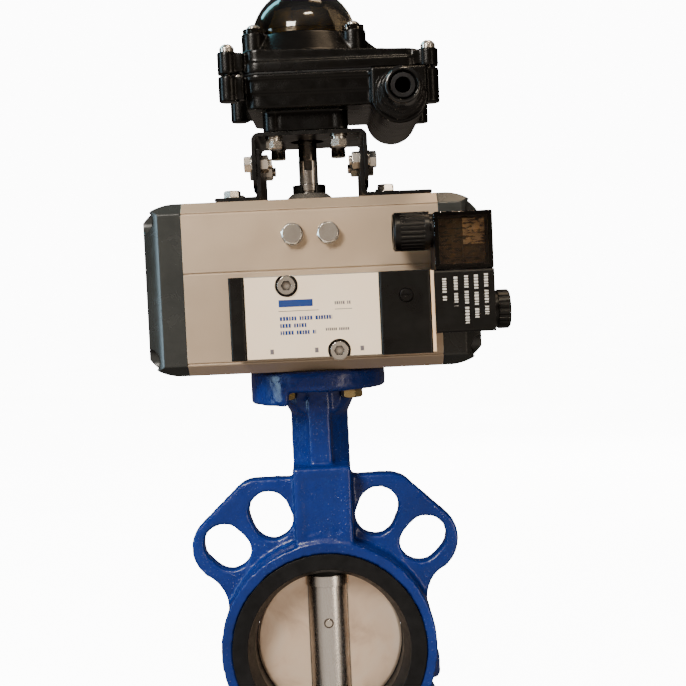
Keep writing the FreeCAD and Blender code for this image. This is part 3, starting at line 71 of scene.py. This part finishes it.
# ---------------------------------------------------------------- camera, floor and lights
def make_camera():
    """A camera level with the actuator, looking slightly down and tipped a little to one side."""
    lens = 60.85
    heading = math.radians(-0.42)
    elevation = math.radians(-2.717)
    roll = math.radians(-2.569)
    place = (0.00976, -0.62365, 0.18964)
    data = bpy.data.cameras.new("camera")
    data.lens = lens
    data.sensor_width = 36.0
    data.clip_start = 0.01
    camera = bpy.data.objects.new("camera", data)
    bpy.context.scene.collection.objects.link(camera)
    turn = Matrix.Rotation(heading, 4, "Z") @ Matrix.Rotation(math.pi / 2 + elevation, 4, "X")
    turn = turn @ Matrix.Rotation(roll, 4, "Z")
    camera.matrix_world = Matrix.Translation(place) @ turn
    bpy.context.scene.camera = camera


def area_light(name, place, target, size, power, colour):
    """A rectangular lamp: places and size in metres, power in watts."""
    data = bpy.data.lights.new(name, "AREA")
    data.shape = "RECTANGLE"
    data.size, data.size_y = size
    data.energy = power
    data.color = colour
    light = bpy.data.objects.new(name, data)
    bpy.context.scene.collection.objects.link(light)
    light.location = place
    light.rotation_euler = (Vector(target) - Vector(place)).to_track_quat("-Z", "Y").to_euler()
    return light


def make_world():
    """A white backdrop for the camera. The object is lit by a dimmer surround: pale below and above,
    brown at the horizon, and darker behind than in front."""
    world = bpy.data.worlds.new("studio")
    world.use_nodes = True
    tree = world.node_tree
    surround = tree.nodes["Background"]
    surround.inputs["Strength"].default_value = 1.15
    direction = tree.nodes.new("ShaderNodeTexCoord").outputs["Generated"]
    height = tree.nodes.new("ShaderNodeSeparateXYZ")
    tree.links.new(direction, height.inputs[0])
    span = tree.nodes.new("ShaderNodeMapRange")
    span.inputs["From Min"].default_value = -1.0
    tree.links.new(height.outputs[2], span.inputs["Value"])
    ramp = tree.nodes.new("ShaderNodeValToRGB")
    # From straight down (0) through the horizon (0.5) to straight up (1).
    bands = ((0.30, (0.62, 0.54, 0.46)), (0.44, (0.50, 0.42, 0.35)), (0.53, (0.12, 0.09, 0.065)),
             (0.68, (0.12, 0.10, 0.085)), (0.90, (0.52, 0.50, 0.48)))
    while len(ramp.color_ramp.elements) < len(bands):
        ramp.color_ramp.elements.new(0.5)
    for element, (position, colour) in zip(ramp.color_ramp.elements, bands):
        element.position = position
        element.color = (*colour, 1)
    tree.links.new(span.outputs[0], ramp.inputs[0])
    # Full strength in front (-Y), fading to the last value behind.
    facing = tree.nodes.new("ShaderNodeMapRange")
    facing.interpolation_type = "SMOOTHSTEP"
    for key, value in (("From Min", -1.0), ("From Max", 0.1), ("To Min", 1.0), ("To Max", 0.22)):
        facing.inputs[key].default_value = value
    tree.links.new(height.outputs[1], facing.inputs["Value"])
    shade = tree.nodes.new("ShaderNodeVectorMath")
    shade.operation = "SCALE"
    tree.links.new(ramp.outputs[0], shade.inputs[0])
    tree.links.new(facing.outputs[0], shade.inputs["Scale"])
    tree.links.new(shade.outputs[0], surround.inputs["Color"])
    backdrop = tree.nodes.new("ShaderNodeBackground")
    backdrop.inputs["Color"].default_value = (1, 1, 1, 1)
    backdrop.inputs["Strength"].default_value = BACKDROP
    chooser = tree.nodes.new("ShaderNodeMixShader")
    tree.links.new(tree.nodes.new("ShaderNodeLightPath").outputs["Is Camera Ray"], chooser.inputs[0])
    tree.links.new(surround.outputs[0], chooser.inputs[1])
    tree.links.new(backdrop.outputs[0], chooser.inputs[2])
    tree.links.new(chooser.outputs[0], tree.nodes["World Output"].inputs["Surface"])
    bpy.context.scene.world = world


def make_floor():
    """A plain white floor, as bright as the backdrop."""
    floor_z = cad_bounds[0][2]
    half = 40.0
    mesh = bpy.data.meshes.new("floor")
    corners = [(-half, -half, floor_z), (half, -half, floor_z), (half, half, floor_z), (-half, half, floor_z)]
    mesh.from_pydata(corners, [], [(0, 1, 2, 3)])
    floor = bpy.data.objects.new("floor", mesh)
    bpy.context.scene.collection.objects.link(floor)
    look = Look("floor_white")
    look.set(Roughness=0.8, Emission_Strength=BACKDROP)
    pale = look.ramp(look.noise(3, 3), (0.3, (0.97, 0.97, 0.96)), (0.7, (1.0, 1.0, 1.0)))
    look.tree.links.new(pale, look.shader.inputs["Emission Color"])
    look.colour(look.ramp(look.noise(6, 3), (0.3, (0.76, 0.75, 0.74)), (0.7, (0.80, 0.79, 0.78))))
    mesh.materials.append(look.material)
    floor.visible_diffuse = False
    floor.visible_glossy = False
    floor.visible_transmission = False


def make_lights():
    """A warm key from the upper left, a low warm fill, a cool strip at the left, two small lamps above,
    a teal light behind and a broad rear light that no surface reflects."""
    centre = (0, 0, 0.14)
    area_light("key", (-0.55, -1.05, 0.85), centre, (0.40, 0.40), 25, (1.0, 0.93, 0.84))
    area_light("fill", (0.95, -1.1, 0.10), centre, (0.22, 0.9), 5, (1.0, 0.84, 0.66))
    area_light("window", (-1.25, -0.35, 0.30), centre, (0.26, 0.9), 7.5, (0.55, 0.82, 1.0))
    area_light("lamp", (0.20, -0.75, 1.25), centre, (0.30, 0.06), 4, (1.0, 0.82, 0.60))
    area_light("top", (0.28, 0.10, 1.35), centre, (0.30, 0.30), 2.2, (1.0, 0.74, 0.48))
    area_light("back", (-0.72, 0.55, 1.20), centre, (0.25, 0.6), 4.5, (0.25, 0.72, 0.85))
    rear = area_light("rear", (0.45, 1.30, 0.45), centre, (0.7, 0.7), 12, (1.0, 0.92, 0.82))
    rear.visible_glossy = False


# ---------------------------------------------------------------- material helper
class Look:
    """A procedural material: short calls that add nodes to one Principled shader."""

    def __init__(self, name):
        self.material = bpy.data.materials.new(name)
        self.material.use_nodes = True
        self.tree = self.material.node_tree
        self.shader = self.tree.nodes["Principled BSDF"]
        self.place = self.tree.nodes.new("ShaderNodeTexCoord").outputs["Object"]
        self.rounded = None

    def add(self, kind, **inputs):
        node = self.tree.nodes.new(kind)
        for key, value in inputs.items():
            self.feed(node.inputs[key.replace("_", " ")], value)
        return node

    def feed(self, socket, value):
        if isinstance(value, bpy.types.NodeSocket):
            self.tree.links.new(value, socket)
        else:
            socket.default_value = value

    def set(self, **values):
        """Constant shader values."""
        for key, value in values.items():
            self.shader.inputs[key.replace("_", " ")].default_value = value

    def colour(self, socket):
        self.tree.links.new(socket, self.shader.inputs["Base Color"])

    def roughness(self, socket):
        self.tree.links.new(socket, self.shader.inputs["Roughness"])

    def stretched(self, scale):
        """Object coordinates scaled apart along the axes, for grain that runs one way."""
        node = self.add("ShaderNodeMapping", Vector=self.place)
        node.inputs["Scale"].default_value = scale
        return node.outputs["Vector"]

    def noise(self, scale, detail=4.0, rough=0.55, vector=None, distortion=0.0):
        node = self.add("ShaderNodeTexNoise", Vector=vector or self.place, Scale=scale, Detail=detail,
                        Roughness=rough, Distortion=distortion)
        return node.outputs["Fac"]

    def cells(self, scale):
        """Distance to the nearest of many scattered points."""
        return self.add("ShaderNodeTexVoronoi", Vector=self.place, Scale=scale).outputs["Distance"]

    def ramp(self, socket, *stops):
        """A ramp with (position, colour or grey) stops."""
        node = self.add("ShaderNodeValToRGB", Fac=socket)
        elements = node.color_ramp.elements
        while len(elements) < len(stops):
            elements.new(0.5)
        for element, (position, value) in zip(elements, stops):
            element.position = position
            rgb = value if isinstance(value, tuple) else (value, value, value)
            element.color = (*rgb, 1)
        return node.outputs["Color"]

    def mix(self, factor, first, second):
        node = self.tree.nodes.new("ShaderNodeMix")
        node.data_type = "RGBA"
        self.feed(node.inputs[0], factor)
        for socket, value in ((node.inputs[6], first), (node.inputs[7], second)):
            self.feed(socket, (*value, 1) if isinstance(value, tuple) else value)
        return node.outputs[2]

    def math(self, operation, first, second=0.0):
        node = self.tree.nodes.new("ShaderNodeMath")
        node.operation = operation
        self.feed(node.inputs[0], first)
        self.feed(node.inputs[1], second)
        return node.outputs[0]

    def round_edges(self, radius):
        """Soften the shading of edges over a radius in metres."""
        bevel = self.add("ShaderNodeBevel", Radius=radius)
        bevel.samples = 6
        self.rounded = bevel.outputs["Normal"]

    def edges(self, low=0.85, high=0.99):
        """Near 1 close to an edge: where the softened normal leaves the true one."""
        true_normal = self.tree.nodes.new("ShaderNodeNewGeometry").outputs["Normal"]
        dot = self.add("ShaderNodeVectorMath")
        dot.operation = "DOT_PRODUCT"
        self.feed(dot.inputs[0], self.rounded)
        self.feed(dot.inputs[1], true_normal)
        return self.ramp(dot.outputs["Value"], (low, 1.0), (high, 0.0))

    def crevices(self, reach, dark, light=0.85):
        """0 in corners and sockets, 1 in the open, over a reach in metres."""
        node = self.add("ShaderNodeAmbientOcclusion", Distance=reach)
        node.samples = 8
        return self.ramp(node.outputs["AO"], (dark, 0.0), (light, 1.0))

    def axis(self, index):
        """The X, Y or Z of object coordinates, in metres."""
        return self.add("ShaderNodeSeparateXYZ", Vector=self.place).outputs[index]

    def bump(self, *layers):
        """Stack (height socket, height in metres) layers into the shader's normal."""
        normal = self.rounded
        for height, distance in layers:
            node = self.add("ShaderNodeBump", Height=height, Distance=distance, Strength=1.0)
            if normal is not None:
                self.tree.links.new(normal, node.inputs["Normal"])
            normal = node.outputs["Normal"]
        self.tree.links.new(normal, self.shader.inputs["Normal"])


# ---------------------------------------------------------------- materials
def paint(name, dark, light, rough, grain, height, patch=45.0, worn=None, shine=0.5, edge=0.3, metallic=0.0):
    """Paint or moulded plastic: patchy colour and gloss, fine grain, and edges that may be worn.

    grain and patch are noise scales; height (of the grain) and edge (its radius) are in millimetres.
    """
    look = Look(name)
    look.round_edges(edge * MM)
    colour = look.ramp(look.noise(patch, 5, 0.6), (0.32, dark), (0.68, light))
    if worn:
        scuffs = look.ramp(look.noise(330, 6, 0.7), (0.48, 0.0), (0.66, 0.8))
        colour = look.mix(look.math("MULTIPLY", look.edges(), scuffs), colour, worn)
    look.colour(colour)
    smears = look.noise(patch * 2.3, 4, 0.6, distortion=0.6)
    look.roughness(look.ramp(smears, (0.3, rough[0]), (0.7, rough[1])))
    look.bump((look.noise(grain, 3, 0.6), height * MM), (look.noise(grain / 5, 3, 0.5), 1.5 * height * MM))
    look.set(Metallic=metallic, Specular_IOR_Level=shine)
    return look.material


def epoxy(name):
    """Glossy blue epoxy over a sand-cast skin: orange peel, sharp little grains, pale specks of painted
    glints and some dirt, and painted shade in its corners.
    """
    look = Look(name)
    colour = look.ramp(look.noise(24, 4, 0.6), (0.3, (0.0016, 0.0140, 0.128)), (0.7, (0.0034, 0.0250, 0.205)))
    rough_areas = look.ramp(look.noise(55, 3, 0.6), (0.46, 0.0), (0.60, 1.0))
    # In the rough patches the lighter blue speckles are painted glints. The whitish specks are partly dirt
    # and partly painted glints.
    speckles = look.ramp(look.noise(800, 3, 0.65), (0.56, 0.0), (0.66, 0.5))
    pale_glints = look.math("MULTIPLY", rough_areas, speckles)
    colour = look.mix(pale_glints, colour, (0.016, 0.060, 0.26))
    specks = look.ramp(look.noise(1300, 3, 0.7), (0.66, 0.0), (0.70, 0.8))
    dust_and_glints = look.math("MULTIPLY", rough_areas, specks)
    colour = look.mix(dust_and_glints, colour, (0.45, 0.50, 0.62))
    # Painted shade: darker navy in corners and recesses.
    look.colour(look.mix(look.crevices(5 * MM, 0.25), (0.0012, 0.005, 0.035), colour))
    look.roughness(look.ramp(look.noise(120, 4, 0.6), (0.3, 0.22), (0.7, 0.42)))
    grains = look.ramp(look.cells(620), (0.05, 1.0), (0.35, 0.0))
    sparse = look.ramp(look.noise(70, 3, 0.6), (0.48, 0.0), (0.62, 1.0))
    grains = look.math("MULTIPLY", grains, sparse)
    lumps = look.noise(420, 4, 0.6)
    peel = look.noise(1100, 3, 0.6)
    look.bump((lumps, 0.16 * MM), (peel, 0.05 * MM), (grains, 0.22 * MM))
    look.set(Specular_IOR_Level=0.28, Coat_Weight=0.22, Coat_Roughness=0.14)
    return look.material


def metal(name, dark, light, rough, stretch=(1, 1, 1), stain=None, metallic=0.9, corner_shade=0.35):
    """Bare metal with fine scratches, which may run one way, painted shade in its corners and faint staining.
    """
    look = Look(name)
    look.round_edges(0.25 * MM)
    grain = look.noise(3500, 3, 0.6, vector=look.stretched(stretch))
    patches = look.noise(90, 3, 0.5)
    colour = look.ramp(look.mix(0.35, patches, grain), (0.3, dark), (0.7, light))
    if stain:
        spots = look.ramp(look.noise(180, 5, 0.7), (0.56, 0.0), (0.72, 0.6))
        colour = look.mix(spots, colour, stain)
    # Painted shade: near black in corners, sockets and recesses.
    if corner_shade:
        colour = look.mix(look.crevices(2.2 * MM, corner_shade), (0.03, 0.027, 0.024), colour)
    look.colour(colour)
    look.roughness(look.ramp(look.mix(0.5, patches, grain), (0.3, rough[0]), (0.7, rough[1])))
    look.bump((grain, 0.0025 * MM))
    look.set(Metallic=metallic)
    return look.material


def disc_steel(name):
    """Polished stainless: a plate with a warm, faintly clouded painted reflection, a cooler hub with painted
    shade towards its sides, painted shade in its corners and a dark line round the pin.
    """
    look = Look(name)
    look.round_edges(0.3 * MM)
    hub_reach = 25 * MM
    pin_reach = 10 * MM

    across = look.math("DIVIDE", look.math("ABSOLUTE", look.axis(0)), hub_reach)
    hub = look.ramp(across, (10.8 * MM / hub_reach, 1.0), (11.0 * MM / hub_reach, 0.0))
    clouds = look.noise(38, 4, 0.55, distortion=0.8)
    # Painted reflection: the plate's warm, clouded tone stands for the warm surroundings its polished face
    # reflects.
    plate = look.ramp(clouds, (0.30, (0.62, 0.45, 0.33)), (0.50, (0.86, 0.67, 0.51)),
                      (0.72, (0.90, 0.75, 0.61)))
    grain = look.noise(3800, 3, 0.55, vector=look.stretched((1, 1, 0.04)))
    barrel = look.ramp(grain, (0.25, (0.70, 0.67, 0.64)), (0.75, (0.86, 0.84, 0.81)))
    # Painted shade: the hub's barrel darkens towards its sides.
    hub_side_shade = look.ramp(across, (3.0 * MM / hub_reach, 0.0), (10.75 * MM / hub_reach, 0.75))
    barrel = look.mix(hub_side_shade, barrel, (0.20, 0.165, 0.13))
    colour = look.mix(hub, plate, barrel)

    (left, front, low), (right, _, high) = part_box("taper_pin")
    from_pin = look.add("ShaderNodeVectorMath", Vector=look.place)
    from_pin.operation = "DISTANCE"
    from_pin.inputs[1].default_value = ((left + right) / 2, front, (low + high) / 2)
    distance = look.math("DIVIDE", from_pin.outputs["Value"], pin_reach)
    line = look.ramp(distance, (1.9 * MM / pin_reach, 0.0), (2.1 * MM / pin_reach, 1.0),
                     (2.5 * MM / pin_reach, 1.0), (2.8 * MM / pin_reach, 0.0))
    colour = look.mix(line, colour, (0.10, 0.07, 0.05))

    # Painted shade: darker in the corners round the hub and the pin.
    look.colour(look.mix(look.crevices(3.0 * MM, 0.1, 0.75), (0.10, 0.085, 0.075), colour))
    plate_gloss = look.ramp(clouds, (0.3, 0.30), (0.7, 0.42))
    hub_gloss = look.ramp(grain, (0.25, 0.24), (0.75, 0.30))
    look.roughness(look.mix(hub, plate_gloss, hub_gloss))
    look.tree.links.new(look.ramp(hub, (0.0, 0.6), (1.0, 1.0)), look.shader.inputs["Metallic"])
    look.bump((grain, 0.0008 * MM))
    return look.material


def rubber(name):
    """Matt black rubber with a trace of dust."""
    look = Look(name)
    look.round_edges(0.4 * MM)
    dust_and_glints = look.noise(70, 6, 0.65)
    look.colour(look.ramp(dust_and_glints, (0.35, (0.003, 0.003, 0.0035)), (0.75, (0.009, 0.009, 0.010))))
    look.roughness(look.ramp(look.noise(140, 4), (0.3, 0.38), (0.7, 0.55)))
    look.bump((look.noise(900, 3), 0.03 * MM), (look.noise(120, 3), 0.1 * MM))
    look.set(Specular_IOR_Level=0.22)
    return look.material


def clear(name, dark, light, rough, bend=1.5):
    """Smoke-tinted clear plastic with faint haze."""
    look = Look(name)
    haze = look.noise(55, 4, 0.6)
    look.colour(look.ramp(haze, (0.3, dark), (0.7, light)))
    look.roughness(look.ramp(haze, (0.3, rough), (0.8, rough + 0.05)))
    look.set(Transmission_Weight=1.0, IOR=bend)
    return look.material


def board(name):
    """A circuit board: dark brown with a pale patch to the upper right, broken by darker tracks."""
    look = Look(name)
    (left, _, low), (right, _, high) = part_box("connector_board")
    patch_start = 0.52
    patch_base = 0.42
    across = look.math("GREATER_THAN", look.axis(0), left + patch_start * (right - left))
    above = look.math("GREATER_THAN", look.axis(2), low + patch_base * (high - low))
    patch = look.math("MULTIPLY", across, above)
    flecks = look.noise(900, 3, 0.5, vector=look.stretched((0.35, 0.35, 1.0)))
    tracks = look.ramp(flecks, (0.42, 0.15), (0.50, 1.0))
    pale = look.mix(look.noise(300, 3), (0.42, 0.31, 0.20), (0.62, 0.48, 0.33))
    dark = look.mix(look.noise(300, 3), (0.05, 0.035, 0.02), (0.12, 0.085, 0.05))
    base = look.mix(patch, dark, pale)
    look.colour(look.mix(tracks, (0.015, 0.012, 0.01), base))
    look.roughness(look.ramp(look.noise(500, 3), (0.3, 0.35), (0.7, 0.5)))
    look.bump((tracks, 0.05 * MM))
    return look.material


# One look for each material slot, then looks for single nodes and for the printing.
LOOKS = {
    "blue_epoxy": epoxy("blue_epoxy_cast"),
    "seat_rubber": rubber("seat_rubber_black"),
    "seal_rubber": rubber("seal_rubber_black"),
    "polished_stainless": disc_steel("disc_stainless"),
    "stainless": metal(
        "bright_stainless", (0.72, 0.66, 0.58), (0.86, 0.80, 0.72), (0.16, 0.26)),
    "nickelled_steel": metal(
        "nickelled_steel", (0.22, 0.20, 0.18), (0.36, 0.33, 0.30), (0.18, 0.30), (1, 1, 0.1)),
    "black_steel": paint(
        "black_steel", (0.003, 0.003, 0.003), (0.007, 0.007, 0.006), (0.2, 0.35), 900, 0.02),
    "spring_steel": metal(
        "spring_steel", (0.35, 0.34, 0.33), (0.55, 0.54, 0.52), (0.25, 0.4)),
    "yellow_zinc": metal(
        "yellow_zinc", (0.52, 0.36, 0.13), (0.72, 0.58, 0.30), (0.2, 0.36), stain=(0.30, 0.32, 0.20)),
    "brass": metal(
        "bright_brass", (1.0, 0.66, 0.40), (1.0, 0.76, 0.52), (0.3, 0.4), metallic=0.0, corner_shade=None),
    "bush_plastic": paint(
        "bush_plastic", (0.62, 0.60, 0.54), (0.74, 0.72, 0.66), (0.4, 0.55), 500, 0.02),
    "anodised_grey": paint(
        "anodised_grey", (0.465, 0.352, 0.245), (0.53, 0.408, 0.292), (0.30, 0.42), 1400, 0.008,
        patch=14, worn=(0.62, 0.58, 0.50), metallic=0.35),
    "cap_paint": paint(
        "cap_dark_grey", (0.024, 0.026, 0.025), (0.034, 0.036, 0.034), (0.20, 0.30), 1000, 0.008,
        edge=0.8),
    "cast_aluminium": metal(
        "cast_aluminium", (0.45, 0.43, 0.40), (0.62, 0.60, 0.56), (0.35, 0.5)),
    "black_plastic": paint(
        "black_plastic", (0.0030, 0.0028, 0.0025), (0.0065, 0.0058, 0.0050), (0.24, 0.38), 1100, 0.01,
        shine=0.28),
    "box_black": paint(
        "box_black", (0.0012, 0.0011, 0.0009), (0.0028, 0.0024, 0.0019), (0.20, 0.30), 800, 0.01,
        edge=0.5, shine=0.22),
    "black_powder_coat": paint(
        "black_powder_coat", (0.0015, 0.0014, 0.0013), (0.0040, 0.0036, 0.0032), (0.24, 0.38), 700, 0.03,
        worn=(0.06, 0.055, 0.05), shine=0.28),
    "label_silver": paint(
        "label_cream", (0.98, 0.79, 0.58), (1.0, 0.85, 0.65), (0.35, 0.45), 1200, 0.01, patch=20),
    "smoky_clear": clear(
        "smoky_clear", (0.115, 0.100, 0.078), (0.150, 0.130, 0.100), 0.05, 1.6),
    "board_green": paint(
        "board_green", (0.03, 0.10, 0.05), (0.05, 0.15, 0.08), (0.4, 0.55), 900, 0.02),
    "indicator_yellow": paint(
        "indicator_yellow", (0.60, 0.42, 0.03), (0.72, 0.52, 0.05), (0.35, 0.45), 900, 0.02),
    "cam_red": paint(
        "cam_red", (0.40, 0.03, 0.02), (0.52, 0.05, 0.03), (0.4, 0.5), 900, 0.02),
}
SMOKY_BROWN = clear("smoky_brown_cover", (0.58, 0.49, 0.38), (0.68, 0.58, 0.46), 0.03)
BOARD_BROWN = board("board_brown")
GLOSSY_BLACK = paint(
    "glossy_black_plastic", (0.0025, 0.0025, 0.0025), (0.0050, 0.0048, 0.0045), (0.12, 0.2), 1100, 0.005,
    shine=0.6)
DARK_STEEL = metal(
    "dark_shaft_steel", (0.10, 0.09, 0.08), (0.20, 0.185, 0.165), (0.16, 0.26), (1, 1, 0.1))
BLUE_INK = paint("blue_ink", (0.004, 0.028, 0.16), (0.006, 0.040, 0.21), (0.35, 0.45), 1500, 0.002)
GREY_INK = paint("grey_ink", (0.12, 0.11, 0.12), (0.20, 0.18, 0.19), (0.4, 0.5), 1500, 0.002)
WHITE_INK = paint("white_ink", (0.62, 0.60, 0.56), (0.74, 0.71, 0.66), (0.4, 0.5), 1500, 0.002)
SPECIAL = {
    "connector_cover": SMOKY_BROWN, "connector_board": BOARD_BROWN, "switch_shaft": DARK_STEEL,
    "cable_gland": GLOSSY_BLACK,
}
SLOTS = {entry["node"]: entry["material_slot"] for entry in frame["record"]["subparts"]}


# ---------------------------------------------------------------- pieces
def add_piece(name, mesh, slot, body, material=None):
    """Link a mesh as a piece that rides on a body."""
    piece = bpy.data.objects.new(name, mesh)
    bpy.context.scene.collection.objects.link(piece)
    mesh.materials.clear()
    mesh.materials.append(material or LOOKS[slot])
    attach(piece, body)
    return piece


def skin_of(node_name, voxel, passes):
    """The CAD node's shape as one even, finely divided skin with softened edges."""
    mesh = frame["nodes"][node_name].data.copy()
    shape = bmesh.new()
    shape.from_mesh(mesh)
    bmesh.ops.remove_doubles(shape, verts=shape.verts, dist=0.002 * MM)
    shape.to_mesh(mesh)
    shape.free()
    work = bpy.data.objects.new("work", mesh)
    bpy.context.scene.collection.objects.link(work)
    remesh = work.modifiers.new("remesh", "REMESH")
    remesh.mode = "VOXEL"
    remesh.voxel_size = voxel * MM
    smooth = work.modifiers.new("smooth", "SMOOTH")
    smooth.factor = 0.5
    smooth.iterations = passes
    evaluated = work.evaluated_get(bpy.context.evaluated_depsgraph_get())
    skin = bpy.data.meshes.new_from_object(evaluated)
    bpy.data.objects.remove(work)
    for polygon in skin.polygons:
        polygon.use_smooth = True
    return skin


def roughen(skin, layers):
    """Move the skin along its normals by layers of noise: (lump size, height, seed) in millimetres."""
    moves = []
    for vertex in skin.vertices:
        rise = 0.0
        for size, height, seed in layers:
            rise += height * noise.noise(vertex.co / (size * MM) + Vector((seed, seed, seed)))
        moves.append(vertex.normal * rise * MM)
    for vertex, move in zip(skin.vertices, moves):
        vertex.co += move


def cast_piece(node_name, voxel, passes, layers):
    """A cast or moulded shell that replaces its CAD node; the voxel is in millimetres."""
    coarse = 1.0
    skin = skin_of(node_name, voxel * coarse, passes)
    roughen(skin, layers)
    piece = add_piece(node_name + "_casting", skin, SLOTS[node_name], "housing")
    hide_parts(node_name)


def spring_piece(node_name):
    """A coil spring: a copy of its CAD node's mesh, as a piece that rides on the housing."""
    mesh = frame["nodes"][node_name].data.copy()
    piece = add_piece(node_name + "_coil", mesh, SLOTS[node_name], "housing")
    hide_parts(node_name)
    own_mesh(piece)


def finish_nodes():
    """Give every CAD node that stays its material."""
    for name, node in frame["nodes"].items():
        node.data.materials.clear()
        node.data.materials.append(SPECIAL.get(name, LOOKS[SLOTS[name]]))


# ---------------------------------------------------------------- printing
def print_mesh(name, marks, front):
    """Thin raised marks on a face that looks to -Y: (left, right, low, high) in metres."""
    thickness = 0.06 * MM
    shape = bmesh.new()
    for left, right, low, high in marks:
        corners = [(left, low), (right, low), (right, high), (left, high)]
        rear = [shape.verts.new((x, front, z)) for x, z in corners]
        face = [shape.verts.new((x, front - thickness, z)) for x, z in corners]
        shape.faces.new(face)
        for index in range(4):
            following = (index + 1) % 4
            shape.faces.new((rear[index], rear[following], face[following], face[index]))
        shape.faces.new(rear[::-1])
    mesh = bpy.data.meshes.new(name)
    shape.to_mesh(mesh)
    shape.free()
    return mesh


def word_marks(length, size, dice):
    """Where the blocks of one printed row start and end: short blocks, with a wider gap between words."""
    block_gap = 0.22 * size
    word_gap = 0.6 * size
    place = 0.0
    blocks = []
    in_word = 0
    while place < length:
        width = size * dice.uniform(0.35, 0.6)
        blocks.append((place, min(place + width, length)))
        place += width + block_gap
        in_word += 1
        if in_word >= dice.randint(4, 8):
            place += word_gap
            in_word = 0
    return blocks


def label_print():
    """The plate on the solenoid valve: a plain blue bar, ruled lines, rows of blocks and three port marks.

    Marks are (start, end, top, bottom) and rows (start, length, top, size), in millimetres from the
    plate's upper left corner.
    """
    (left, front, _), (_, _, top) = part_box("label_plate")
    dice = random.Random(4)

    def row(start, length, below, size):
        return [(start + a, start + b, below, below + size) for a, b in word_marks(length, size, dice)]

    def printed(name, marks, ink):
        placed = [(left + a * MM, left + b * MM, top - d * MM, top - c * MM) for a, b, c, d in marks]
        add_piece(name, print_mesh(name, placed, front), "label_silver", "housing", ink)

    grey = [(15.8, 35.0, 16.4, 16.7), (42.8, 51.0, 16.4, 16.7)]
    grey += [(start, start + 1.7, 34.6, 36.9) for start in (11.0, 32.4, 54.2)]
    for place in ((42.8, 7.6, 12.8, 1.5), (38.0, 12.0, 25.4, 1.3)):
        grey += row(*place)
    blue = [(16.0, 32.3, 11.2, 14.6)]
    for place in ((16.3, 25.0, 19.2, 1.9), (16.3, 12.5, 22.6, 1.9), (16.3, 17.0, 26.0, 1.9)):
        blue += row(*place)
    printed("label_blue_print", blue, BLUE_INK)
    printed("label_grey_print", grey, GREY_INK)


def coil_print():
    """Columns of pale blocks down the right of the coil's face, as if read from the side.

    Columns are (offset from the right, start from the top, length, size), in millimetres.
    """
    (_, front, _), (right, _, top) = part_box("coil")
    dice = random.Random(9)
    columns = (
        (3.2, 2.4, 19.5, 1.9), (8.0, 2.8, 20.6, 1.9), (12.7, 3.0, 23.2, 1.9), (17.8, 3.4, 14.0, 1.8),
        (23.2, 3.9, 10.6, 1.9),
    )
    marks = []
    for offset, start, length, size in columns:
        sides = (right - (offset + size) * MM, right - offset * MM)
        for a, b in word_marks(length, size, dice):
            marks.append((*sides, top - (start + b) * MM, top - (start + a) * MM))
    mesh = print_mesh("coil_white_print", marks, front)
    add_piece("coil_white_print", mesh, "black_plastic", "housing", WHITE_INK)


# ---------------------------------------------------------------- the scene
make_camera()
make_world()
make_floor()
make_lights()
finish_nodes()
cast_piece("valve_body", 1.15, 3, ((7.0, 0.15, 3.0), (3.0, 0.20, 11.0), (1.6, 0.12, 23.0)))
cast_piece("switch_base", 0.64, 3, ((5.0, 0.03, 5.0),))
cast_piece("switch_lid", 0.6, 3, ((5.0, 0.03, 9.0),))
spring_piece("spool_spring")
spring_piece("plunger_spring")
label_print()
coil_print()
